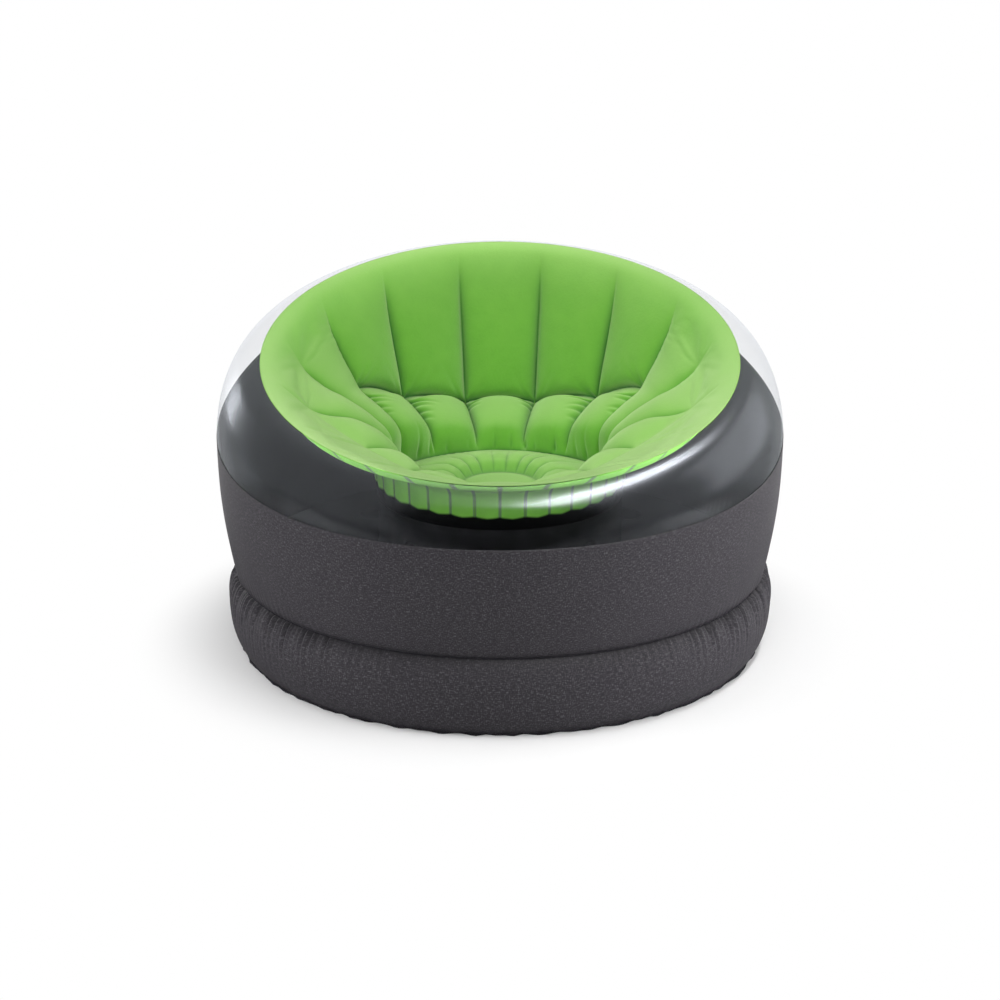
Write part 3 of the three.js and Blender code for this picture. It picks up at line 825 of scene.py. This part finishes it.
def buildBucket():
    around = bucketLook["columnsPerFlute"] * chairForm["flutes"]
    rows = bucketLook["rows"]
    rowT = rowPositions(rows - 1)

    def placeOf(across, along):
        # columns stand closer together at the grooves
        step = across * chairForm["flutes"]
        angle = (step - bucketLook["columnShift"] * np.sin(fullTurn * ((step + 0.5) % 1))) * flutePitch
        index = along * rows
        return angle, index, np.interp(index, np.arange(rows - 1), rowT)

    def pointsAt(across, along):
        angle, index, t = placeOf(across, along)
        points = bucketSurface(angle, t)
        lip = index > rows - 1.5
        drop = (index - (rows - 2)) * chairForm["weldWidth"] / 2
        points[lip] = ringPoint(chairForm["creaseRadius"], angle, chairForm["creaseHeight"] - drop)[lip]
        return points

    piece = rollSheet("bucketWall", around, rows, pointsAt)
    faceOutwards(piece, towardsAxis)
    # the rim, the crease, the grooves and the tuck are held, and the cloth is loose under the tuck
    angle, index, t = placeOf(readTurn(piece), readShares(piece, "along"))
    held = (fluteDepth(angle, t) > 0.12) & (np.abs(acrossFlute(angle)) > 0.985)
    held |= (t < 0.3) | (index > rows - 2.5)
    held |= isLumbarAt(angle) & (np.abs(tuckDistance(angle, t)) < 0.003)
    loose = isLumbarAt(angle) * np.clip((t - 3.9) / 0.4, 0, 1) * np.clip((6.6 - t) / 0.8, 0, 1)
    loose = np.maximum(loose, 0.1 * np.clip((t - 2) / 2, 0, 1))
    inflate(piece, held, loose)
    applyModifier(piece, "SUBSURF", levels=1, render_levels=1)
    angle, index, t = placeOf(readTurn(piece), readShares(piece, "along"))
    gatherFlock(piece, angle, np.clip(t, 0, lastRow))
    thicken(piece, flocked, greenVinyl)
    finish(piece, "flocked_green", "bucket_wall")


def inflate(piece, held, loose):
    # air pressure on cloth that is held along its welds, with slack where it is gathered
    before = readPoints(piece)
    welds = piece.vertex_groups.new(name="welds")
    welds.add([int(i) for i in np.nonzero(held)[0]], 1, "REPLACE")
    gathers = piece.vertex_groups.new(name="gathers")
    levels = np.round(loose, 2)
    for level in np.unique(levels):
        gathers.add([int(i) for i in np.nonzero(levels == level)[0]], float(level), "REPLACE")
    only(piece)
    bpy.ops.object.modifier_add(type="CLOTH")
    cloth = piece.modifiers[-1]
    setup = cloth.settings
    setup.quality = clothLook["quality"]
    setup.mass = clothLook["mass"]
    setup.tension_stiffness = clothLook["stretch"]
    setup.compression_stiffness = clothLook["stretch"]
    setup.shear_stiffness = clothLook["shear"]
    setup.bending_stiffness = clothLook["bending"]
    setup.use_pressure = True
    setup.uniform_pressure_force = clothLook["pressure"]
    setup.shrink_min = 0
    setup.shrink_max = -clothLook["slack"]
    setup.vertex_group_shrink = "gathers"
    setup.vertex_group_mass = "welds"
    setup.effector_weights.gravity = 0
    cloth.point_cache.frame_start = 1
    cloth.point_cache.frame_end = clothLook["frames"]
    for frameNumber in range(1, clothLook["frames"] + 1):
        scene.frame_set(frameNumber)
    blown = piece.evaluated_get(bpy.context.evaluated_depsgraph_get())
    move = readPoints(blown) - before
    far = np.linalg.norm(move, axis=1, keepdims=True)
    most, average = round(float(far.max()), 4), round(float(far.mean()), 4)
    print("   ", piece.name, "moved at most", most, "on average", average)
    move *= np.minimum(1, clothLook["furthest"] / np.maximum(far, 1e-9))
    bpy.ops.object.modifier_remove(modifier=cloth.name)
    scene.frame_set(1)
    movePoints(piece, before + move)
    piece.vertex_groups.clear()


def wedgeWrinkles(side, down, salt, count, length):
    # level wedges that start at the groove, longest under the tuck
    total = np.zeros_like(side)
    for k in range(count):
        reach = (creaseLook["wrinkleReach"] - 0.009 * k + 0.008 * hashed(k, salt)) * length
        place = 0.009 + creaseLook["wrinkleStep"] * k + 0.005 * hashed(k, salt + 20)
        slant = 0.45 + 0.4 * hashed(k, salt + 40)
        taper = np.clip(1 - side / reach, 0, 1)
        depth = creaseLook["wrinkleDepth"] * (0.75 + 0.4 * hashed(k, salt + 60)) * (1 - 0.1 * k)
        total += depth * bell(down - place - slant * side, 0.0018 + 0.0032 * taper) * taper
    return total


def cornerCreases(side, down, salt):
    # short creases that run up from the two ends of the tuck line
    total = np.zeros_like(side)
    for k in range(2):
        way = math.radians(24 + 16 * k + 8 * hashed(k, salt + 80))
        run = side * math.cos(way) - down * math.sin(way)
        off = side * math.sin(way) + down * math.cos(way)
        reach = 0.025 + 0.025 * hashed(k, salt + 90)
        line = bell(off, 0.0022 + 0.05 * np.abs(run)) * bell(run, reach) * (run > 0)
        total += creaseLook["cornerDepth"] * line
    return total


def lumbarCreases(angle, t, side, below):
    # each half of a lumbar cell has wrinkles of its own, most on the side away from the middle
    pitch = math.degrees(flutePitch)
    cellAt = np.round(fromBack(angle) / pitch).astype(int)
    rightAt = fromBack(angle) > cellAt * pitch
    lastCell = bucketLook["lumbarFlutes"] // 2
    total = np.zeros_like(side)
    for cell in range(-lastCell, lastCell + 1):
        for onRight in (False, True):
            here = isLumbarAt(angle) & (cellAt == cell) & (rightAt == onRight)
            salt = cell * 2 + onRight
            down = (t - tuckRowAt((cell + (0.5 if onRight else -0.5)) * pitch)) * creaseLook["rowStep"]
            outer = (cell > 0) == onRight and cell != 0
            count = 4 if outer else 2 if cell == 0 else 1
            wedges = wedgeWrinkles(side, down, salt, count, 1 if outer else creaseLook["innerReach"])
            total += np.where(here, wedges, 0)
            total += np.where(here & (below < 0), cornerCreases(side, down, salt), 0)
    return total


def sideWrinkles(angle, t, side):
    # level wrinkles on the outer side of the two grooves that end the lumbar tuck, and of the next two
    away = np.abs(fromBack(angle))
    total = np.zeros_like(side)
    for groove, first, depth in creaseLook["sideWrinkles"]:
        outside = (away > groove) & (away < groove + math.degrees(flutePitch) / 2)
        for k in range(9):
            place = first + 0.17 * k + 0.08 * hashed(k, 11)
            line = bell(t - place - 8 * side * (hashed(k, 13) - 0.3), 0.05)
            reach = 0.014 + 0.016 * hashed(k, 12)
            total += np.where(outside, depth * (0.4 + 0.8 * hashed(k, 14)) * line * bell(side, reach), 0)
    return total


def footPleats(angle, up):
    # upright pleats at the seat crease
    total = np.zeros_like(up)
    for place in creaseLook["pleats"]:
        tall = 0.014 + 0.02 * hashed(place, 15)
        away = np.radians(fromBack(angle) - place) * 0.25
        depth = creaseLook["pleatDepth"] * (0.5 + 0.6 * hashed(place, 16))
        total += depth * bell(away, creaseLook["pleatWidth"]) * bell(up, tall) * (1 - bell(up, 0.009))
    return total


def gatherFlock(piece, angle, t):
    # sharp grooves, small wrinkles beside them and pleats at the foot, pressed into the puffed form
    side = sideDistance(angle)
    deep = fluteDepth(angle, t)
    below = tuckDistance(angle, t)
    lumbar = isLumbarAt(angle)
    up = np.maximum(0, (lastRow - t) * creaseLook["rowStep"])
    grooveLine = fade(side, creaseLook["grooveWidth"])
    press = creaseLook["grooveCut"] * grooveLine * np.clip(deep * 1.6 - 0.1, 0, 1)
    press += np.where(lumbar, creaseLook["tuckCut"] * fade(below, creaseLook["tuckWidth"]), 0)
    press += lumbarCreases(angle, t, side, below) + sideWrinkles(angle, t, side) + footPleats(angle, up)
    inside = np.clip(t - 1, 0, 1) * (t < lastRow - 0.02)
    movePoints(piece, readPoints(piece) - grooveNormal(angle, t) * (press * inside)[..., None])
    # painted shade: how deep in a crease each point lies, to paint the flock darker there
    crease = 0.75 * grooveLine * np.clip(deep * 1.5 - 0.3, 0, 1)
    tuck = np.where(lumbar, fade(below, 0.0035), 0)
    foot = 0.9 * fade(up, 0.004)
    paintedShade = np.maximum(np.maximum(crease, tuck), foot) + 110 * np.maximum(press - 0.0015, 0)
    storeShares(piece, "paintedShade", np.clip(paintedShade, 0, creaseLook["darkest"]))
    piece.data.update()
    # painted sheen: the back's rolled rim is painted pale
    storePaintedSheen(piece, 0.95 * bell(t, 1.4) * np.exp(-(fromBack(angle) / 66) ** 4))


def storePaintedSheen(piece, least):
    # painted sheen: the flock is painted paler where the cloth faces up to the lamps above
    up = np.zeros(len(piece.data.vertices) * 3)
    piece.data.vertices.foreach_get("normal", up)
    rise = np.clip((np.abs(up[2::3]) - 0.35) / 0.6, 0, 1)
    storeShares(piece, "paintedSheen", np.maximum(least, flockLook["paintedSheenShare"] * rise * rise * (3 - 2 * rise)))


buildBucket()
print("bucket wall ready")


# Seat

seatLook = {
    "around": 384,
    "rows": 90,
    "lipShare": 0.02,
    "ringShare": 0.74,
    "discShare": 0.24,
    "crown": 0.031,
    "crownRows": (0, 0.2, 0.42, 0.62, 0.8, 0.94, 1, 0.78, 0),
    "tuckDepth": 0.011,
    "discDome": 0.009,
    "rimPleats": 70,
    "rimPleatDepth": 0.0011,
    "darkest": 0.85,
}

# radial folds: degrees from the back, how far out they reach (0 at the disc, 1 at the crease), strength
seatFolds = (
    (-62, 0.95, 1.1), (-44, 0.8, 0.9), (-27, 0.9, 1.0), (-9, 0.55, 0.7), (8, 0.75, 0.9), (24, 0.6, 1.0),
    (38, 0.95, 1.1), (57, 0.85, 0.9), (80, 0.9, 1), (104, 0.8, 0.9), (128, 0.9, 1), (152, 0.8, 0.9),
    (176, 0.9, 1), (-160, 0.8, 0.8), (-134, 0.9, 1), (-108, 0.8, 0.9), (-85, 0.9, 1),
)


def seatCreases(angle, radius, share):
    # for each radial fold, how strong it is at a point and how many metres away it lies
    for k, (place, out, strength) in enumerate(seatFolds):
        bend = 9 * (hashed(k, 21) - 0.5) * (1 - share)
        away = np.radians(((fromBack(angle) - place - bend + 180) % 360) - 180) * radius
        yield strength * np.clip((share - (1 - out)) / out, 0, 1) ** 0.8, away


def buildSeat():
    edge = chairForm["creaseRadius"] - sheetPitch
    disc = chairForm["discRadius"]
    lipShare, ringPart, discPart = seatLook["lipShare"], seatLook["ringShare"], seatLook["discShare"]

    def pointsAt(across, along):
        angle = across * fullTurn
        lip = along < lipShare
        ring = along < lipShare + ringPart
        ringShare = np.clip((along - lipShare) / ringPart, 0, 1)
        discShare = np.clip((along - lipShare - ringPart) / discPart, 0, 1)
        radius = np.where(ring, edge + (disc - edge) * ringShare, disc * (1 - discShare))
        level = chairForm["creaseHeight"] + (chairForm["discHeight"] - chairForm["creaseHeight"]) * ringShare
        crown = seatLook["crown"] * smoothThrough(seatLook["crownRows"], ringShare * 8)
        press = np.zeros_like(angle)
        for strength, away in seatCreases(angle, radius, ringShare):
            press += seatLook["tuckDepth"] * strength * fade(away, 0.004 + 0.01 * (1 - ringShare))
        press *= 1 - ringShare ** 8
        ripple = np.sin(seatLook["rimPleats"] * angle + 4 * np.sin(5 * angle))
        patch = 0.5 + 0.5 * np.sin(9 * angle + 1)
        press += seatLook["rimPleatDepth"] * ripple * patch * fade(ringShare, 0.06)
        height = level + crown - np.minimum(press, 0.8 * crown)
        dome = chairForm["discHeight"] + seatLook["discDome"] * (1 - (1 - discShare) ** 2.6)
        height = np.where(discShare > 0, dome, height)
        drop = chairForm["weldWidth"] * (1 - along / lipShare)
        height = np.where(lip, chairForm["creaseHeight"] - drop, height)
        return ringPoint(radius, angle, height)

    piece = rollSheet("seatPanel", seatLook["around"], seatLook["rows"], pointsAt)
    faceOutwards(piece, upwards)
    # painted shade: the flock is painted darker in the crease, round the disc and in the folds
    ringShare = (readShares(piece, "along") - lipShare) / ringPart
    share = np.clip(ringShare, 0, 1)
    paintedShade = 0.8 * fade(ringShare - 1, 0.02) + 0.5 * fade(ringShare, 0.02)
    radius = chairForm["creaseRadius"] + (disc - chairForm["creaseRadius"]) * share
    for strength, away in seatCreases(readTurn(piece) * fullTurn, radius, share):
        paintedShade = np.maximum(paintedShade, 0.8 * strength * (ringShare < 1) * fade(away, 0.0022))
    storeShares(piece, "paintedShade", np.clip(paintedShade, 0, seatLook["darkest"]))
    storePaintedSheen(piece, 0)
    thicken(piece, flocked, greenVinyl)
    finish(piece, "flocked_green", "seat_panel")


buildSeat()
print("seat ready")


# Clear band

shellLook = {"around": 480, "rows": 84}


def underRim(angle):
    gap = sheetPitch + chairForm["weldGap"]
    return rimPoint(angle) - grooveNormal(angle, np.zeros_like(angle), 1) * gap


def shellPoint(angle, share):
    seam = ringPoint(chairForm["bodyRadius"] - sheetPitch, angle, seamHeight(angle))
    rim = underRim(angle)
    turn = share * math.pi / 2
    point = seam + (rim - seam) * (1 - np.cos(turn))[..., None]
    point[..., 2] = seam[..., 2] + (rim[..., 2] - seam[..., 2]) * np.sin(turn)
    return point


def buildShell():
    rows = shellLook["rows"]

    def pointsAt(across, along):
        angle = across * fullTurn
        point = shellPoint(angle, np.clip((along * rows - 1) / (rows - 2), 0, 1))
        below = along < 0.5 / rows
        above = along > 1 - 0.5 / rows
        point[below, 2] -= chairForm["weldWidth"]
        inwards = groovePoint(angle, np.ones_like(angle)) - rimPoint(angle)
        inwards /= np.linalg.norm(inwards, axis=-1, keepdims=True)
        point[above] += inwards[above] * chairForm["weldWidth"]
        return point

    piece = rollSheet("clearShell", shellLook["around"], rows, pointsAt)
    faceOutwards(piece, awayFromAxis)
    thicken(piece, clearVinyl)
    finish(piece, "clear_vinyl", "clear_shell")


buildShell()
print("clear band ready")


# Printed side wall and base band

wallLook = {
    "around": 960,
    "rows": 50,
    "uvSize": (3.45, 0.42),
    "puckers": 230,
    "puckerDepth": 0.0012,
    "dentAngle": 1.36,
    "dentDepth": 0.009,
    "dentWidth": 0.035,
    "darkest": 0.85,
}

baseLook = {
    "rows": 44,
    "uvSize": (3.4, 0.22),
    "frontGathers": 0.0009,
    "sideGathers": 0.026,
    "waistPull": 0.004,
    "footPuckers": 0.0012,
}

valveFit = {
    "place": (-0.02612, 0.531679, 0.253613),
    "out": (-0.048777, 0.992888, -0.108598),
    "holeRadius": 0.0198,
}


def wallRadius(share):
    grow = 1 - (1 - share) ** chairForm["wallRoundness"]
    return chairForm["waistRadius"] + (chairForm["bodyRadius"] - chairForm["waistRadius"]) * grow


def puckerWave(angle, salt):
    # short upright gathers of uneven size along a weld
    total = 0
    for k in range(5):
        count = round(wallLook["puckers"] * (0.7 + 0.13 * k))
        total = total + np.sin(count * angle + 6.3 * hashed(k, salt)) / 5
    patch = 0.5 + 0.5 * np.sin(7 * angle + salt) * np.sin(4 * angle + 2 * salt)
    return total * (0.4 + 0.6 * patch)


def shadeWaist(piece, salt, reach, strength):
    # painted shade: the print is painted darker in the waist groove and between its gathers
    turn = readTurn(piece) * fullTurn
    away = readPoints(piece)[:, 2] - chairForm["waistHeight"]
    gathers = np.clip(-1.7 * puckerWave(turn, salt), 0, 1) * np.abs(np.sin(turn))
    paintedShade = strength * (0.8 * fade(away, reach * 0.4) + 1.2 * gathers * bell(away, reach))
    storeShares(piece, "paintedShade", np.clip(paintedShade, 0, wallLook["darkest"]))


def cutValveHole(piece):
    deselectAll()
    turn = Vector(valveFit["out"]).to_track_quat("Z", "Y").to_euler()
    bpy.ops.mesh.primitive_cylinder_add(vertices=64, radius=valveFit["holeRadius"], depth=0.02,
                                        location=valveFit["place"], rotation=turn)
    cutWith(piece, bpy.context.object)


def buildWall():
    rows = wallLook["rows"]
    foot = chairForm["waistHeight"] + sheetPitch

    def pointsAt(across, along):
        angle = across * fullTurn
        index = np.round(along * rows)
        share = np.clip((index - 1) / (rows - 1), 0, 1)
        share = share + 0.12 * np.sin(math.pi * share) * (share - 1)
        gather = wallLook["puckerDepth"] * (0.2 + 2.2 * np.sin(angle) ** 2) * fade(share, 0.09)
        radius = wallRadius(share) + gather * puckerWave(angle, 2) - 0.002 * fade(share, 0.018)
        # an upright dent at each side, with a low swell beside it
        for side in (-1, 1):
            away = np.abs(((angle - side * wallLook["dentAngle"] + math.pi) % fullTurn) - math.pi)
            dent = fade(away, wallLook["dentWidth"]) - 0.45 * bell(away - 0.1, 0.06)
            radius = radius - wallLook["dentDepth"] * dent * np.clip(1 - share / 0.62, 0, 1) ** 1.3
        radius = np.where(index < 0.5, chairForm["waistRadius"] - chairForm["weldWidth"], radius)
        return ringPoint(radius, angle, foot + (seamHeight(angle) - foot) * share)

    piece = rollSheet("sideWall", wallLook["around"], rows, pointsAt, wallLook["uvSize"])
    shadeWaist(piece, 2, 0.012, 0.7)
    faceOutwards(piece, awayFromAxis)
    thicken(piece, heather, blackVinyl)
    cutValveHole(piece)
    finish(piece, "heather_print", "side_wall")


def baseRadius(share):
    contact, waist = chairForm["baseContactRadius"], chairForm["waistRadius"]
    bulge = chairForm["baseBulgeRadius"] - (contact + waist) / 2
    swell = 1 - np.abs(2 * share - 1) ** chairForm["baseRoundness"]
    return contact + (waist - contact) * share + bulge * swell


def buildBase():
    rows = baseLook["rows"]
    top = chairForm["waistHeight"] - sheetPitch
    foot = chairForm["skin"] / 2 + sheetPitch

    def pointsAt(across, along):
        angle = across * fullTurn
        index = np.round(along * rows)
        turn = np.clip((index - 1) / (rows - 2), 0, 1)
        share = 0.35 * (0.5 + 0.5 * np.cos(math.pi * turn)) + 0.65 * (1 - turn)
        depth = baseLook["frontGathers"] + baseLook["sideGathers"] * np.sin(angle) ** 2
        upper = puckerWave(angle, 4) * (fade(1 - share, 0.17) - fade(1 - share, 0.012))
        lower = puckerWave(angle, 9) * (fade(share, 0.12) - fade(share, 0.01))
        radius = baseRadius(share) + depth * upper + baseLook["footPuckers"] * lower
        radius = radius - baseLook["waistPull"] * fade(1 - share, 0.08)
        radius = np.where(index < 0.5, chairForm["waistRadius"] - chairForm["weldWidth"], radius)
        radius = np.where(index > rows - 0.5, chairForm["baseContactRadius"] - chairForm["weldWidth"], radius)
        return ringPoint(radius, angle, foot + (top - foot) * share)

    piece = rollSheet("baseBand", wallLook["around"], rows, pointsAt, baseLook["uvSize"])
    shadeWaist(piece, 4, 0.024, 1)
    faceOutwards(piece, awayFromAxis)
    thicken(piece, heather, blackVinyl)
    finish(piece, "heather_print", "base_band")


buildWall()
buildBase()
print("walls ready")


# Bottom sheet

bottomLook = {"around": 384, "rows": 40, "edgeWave": 0.002, "edgeRipple": 0.0012, "edgeLift": 0.0016}


def buildBottom():
    edge = chairForm["baseContactRadius"] + chairForm["bottomFlange"]

    def pointsAt(across, along):
        angle = across * fullTurn
        wave = bottomLook["edgeWave"] * np.sin(37 * angle + 2 * np.sin(9 * angle))
        radius = (edge + wave + bottomLook["edgeRipple"] * np.sin(83 * angle)) * (1 - along)
        lift = bottomLook["edgeLift"] * (1 + np.sin(61 * angle + 3 * np.sin(11 * angle))) * fade(along, 0.008)
        return ringPoint(radius, angle, chairForm["skin"] / 2 + lift)

    piece = rollSheet("bottomSheet", bottomLook["around"], bottomLook["rows"], pointsAt, (1, 1))
    faceOutwards(piece, upwards)
    thicken(piece, blackVinyl)
    finish(piece, "black_vinyl", "bottom_sheet")


buildBottom()


# Inside: backing sheet and webs

insideLook = {
    "backingAround": 384,
    "backingRows": 60,
    "beamDepth": 0.025,
    "beamRows": (0, 1, 1, 1, 0.8, 0.45, 0),
    "beamEnd": 6.4,
    "pleatDepth": 0.0035,
    "webFoot": 0.0008,
    "webAround": 256,
    "ringPull": 0.0008,
    "ringHoles": 4,
    "ringHoleRadius": 0.018,
    "waistSag": 0.0012,
    "airHoles": 8,
    "airHoleRadius": 0.03,
    "tiePull": 0.0015,
    "fluteWebFrom": 1.4,
    "fluteWebRows": 5.2,
}


def backingSurface(angle, t):
    beam = insideLook["beamDepth"] * swellDepth(angle) * smoothThrough(insideLook["beamRows"], t - 1)
    gap = sheetPitch + chairForm["weldGap"] + beam
    return groovePoint(angle, t) - grooveNormal(angle, t) * gap[..., None]


def buildBacking():
    rows = insideLook["backingRows"]
    beamEnd = insideLook["beamEnd"]
    radius = chairForm["creaseRadius"] + 2 * sheetPitch

    def pointsAt(across, along):
        angle = across * fullTurn
        index = np.round(along * rows)
        t = 1 + 6 * np.clip(index / (rows - 2), 0, 1)
        point = backingSurface(angle, np.minimum(t, beamEnd))
        lowShare = np.clip((t - beamEnd) / 0.6, 0, 1)[..., None]
        point = point + (ringPoint(radius, angle, chairForm["creaseHeight"]) - point) * lowShare
        pleat = np.abs(np.sin(angle * chairForm["flutes"])) - 0.5
        low = np.clip((t - 4) / 1.5, 0, 1) * np.clip((lastRow - t) * 3, 0, 1)
        push = insideLook["pleatDepth"] * pleat * low
        point = point + ringPoint(1, angle, 0) * push[..., None]
        lip = index > rows - 1.5
        drop = (index - (rows - 2)) * chairForm["weldWidth"] / 2
        point[lip] = ringPoint(radius, angle, chairForm["creaseHeight"] - drop)[lip]
        return point

    piece = rollSheet("bucketBacking", insideLook["backingAround"], rows, pointsAt, (1, 1))
    faceOutwards(piece, awayFromAxis)
    thicken(piece, weldedGreenPaintedLight)
    finish(piece, "green_vinyl", "bucket_backing")


def drillHoles(piece, places, radius):
    # air holes through a web, one round drill at each place
    drills = []
    for place, turn in places:
        deselectAll()
        bpy.ops.mesh.primitive_cylinder_add(vertices=32, radius=radius, depth=0.02, location=place,
                                            rotation=turn)
        drills.append(bpy.context.object)
    only(drills[0])
    for drill in drills:
        drill.select_set(True)
    bpy.ops.object.join()
    cutWith(piece, bpy.context.object)


def buildRingWeb():
    radius = chairForm["creaseRadius"] + sheetPitch
    foot, top = insideLook["webFoot"], chairForm["creaseHeight"] - sheetPitch

    def pointsAt(across, along):
        # drawn in a little between the seat tucks, as a web under tension is
        angle = across * fullTurn
        pull = insideLook["ringPull"] * np.sin(chairForm["flutes"] * 2 * angle) * np.sin(math.pi * along)
        return ringPoint(radius + pull, angle, foot + (top - foot) * along)

    piece = rollSheet("ringWeb", insideLook["webAround"], 12, pointsAt)
    faceOutwards(piece, awayFromAxis)
    thicken(piece, blackVinyl)
    places = []
    for level in ((foot + chairForm["waistHeight"]) / 2, (chairForm["waistHeight"] + top) / 2):
        for k in range(insideLook["ringHoles"]):
            angle = (k + 0.5) * fullTurn / insideLook["ringHoles"]
            places.append((tuple(ringPoint(radius, angle, level)), (math.pi / 2, 0, angle)))
    drillHoles(piece, places, insideLook["ringHoleRadius"])
    finish(piece, "black_vinyl", "ring_web")


def buildWaistWeb():
    inner = chairForm["creaseRadius"] + sheetPitch + chairForm["skin"] / 2 + chairForm["weldGap"]
    outer = chairForm["waistRadius"] - chairForm["skin"]

    def pointsAt(across, along):
        angle = across * fullTurn
        sag = insideLook["waistSag"] * np.sin(math.pi * along) * np.sin(chairForm["flutes"] * angle)
        return ringPoint(inner + (outer - inner) * along, angle, chairForm["waistHeight"] + sag)

    piece = rollSheet("waistWeb", insideLook["webAround"], 24, pointsAt)
    faceOutwards(piece, upwards)
    thicken(piece, blackVinyl)
    middle = (inner + chairForm["waistRadius"]) / 2
    places = []
    for k in range(insideLook["airHoles"]):
        angle = k * fullTurn / insideLook["airHoles"]
        places.append((tuple(ringPoint(middle, angle, chairForm["waistHeight"])), (0, 0, 0)))
    drillHoles(piece, places, insideLook["airHoleRadius"])
    finish(piece, "black_vinyl", "waist_web")


def buildSeatTie():
    foot, top = insideLook["webFoot"], chairForm["discHeight"] - sheetPitch

    def pointsAt(across, along):
        angle = across * fullTurn
        pull = insideLook["tiePull"] * np.sin(math.pi * along) * np.cos(8 * angle)
        return ringPoint(chairForm["discRadius"] + pull, angle, foot + (top - foot) * along)

    piece = rollSheet("seatTieWeb", 96, 16, pointsAt)
    faceOutwards(piece, awayFromAxis)
    thicken(piece, blackVinyl)
    finish(piece, "black_vinyl", "seat_tie_web")


def buildFluteWeb(number, angle):
    # one upright web behind a groove, from the bucket wall to the backing sheet
    deselectAll()
    bpy.ops.mesh.primitive_grid_add(x_subdivisions=40, y_subdivisions=4, size=1)
    piece = bpy.context.object
    piece.name = piece.data.name = "fluteWeb%02d" % number
    points = readPoints(piece)
    along, down = points[:, 0] + 0.5, 0.5 - points[:, 1]
    t = insideLook["fluteWebFrom"] + insideLook["fluteWebRows"] * along
    held = np.minimum(t, insideLook["beamEnd"])
    angles = np.full_like(t, angle)
    clear = grooveNormal(angles, t) * (chairForm["skin"] / 2 + chairForm["weldGap"])
    groove = groovePoint(angles, t)
    upper = groove - clear
    lower = backingSurface(angles, held) + (groove - groovePoint(angles, held)) + clear
    movePoints(piece, upper + (lower - upper) * down[:, None])
    bpy.ops.object.shade_smooth()
    thicken(piece, greenVinyl)
    finish(piece, "green_vinyl", "flute_web_%02d" % number)


def nearestGroove(name):
    # the angle of the groove that a flute web of the CAD stands behind
    low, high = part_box(name)
    middle = (Vector(low) + Vector(high)) / 2

    def distance(k):
        groove = groovePoint(np.array((k + 0.5) * flutePitch), np.array(lastRow / 2))
        return (Vector(groove) - middle).length

    return (min(range(chairForm["flutes"]), key=distance) + 0.5) * flutePitch


buildBacking()
buildRingWeb()
buildWaistWeb()
buildSeatTie()
for number, name in enumerate(sorted(n for n in nodes if n.startswith("flute_web")), 1):
    buildFluteWeb(number, nearestGroove(name))
for name, node in nodes.items():
    if name.startswith("valve_"):
        node.data.materials.clear()
        node.data.materials.append(milkyPlastic)
print("inside ready")
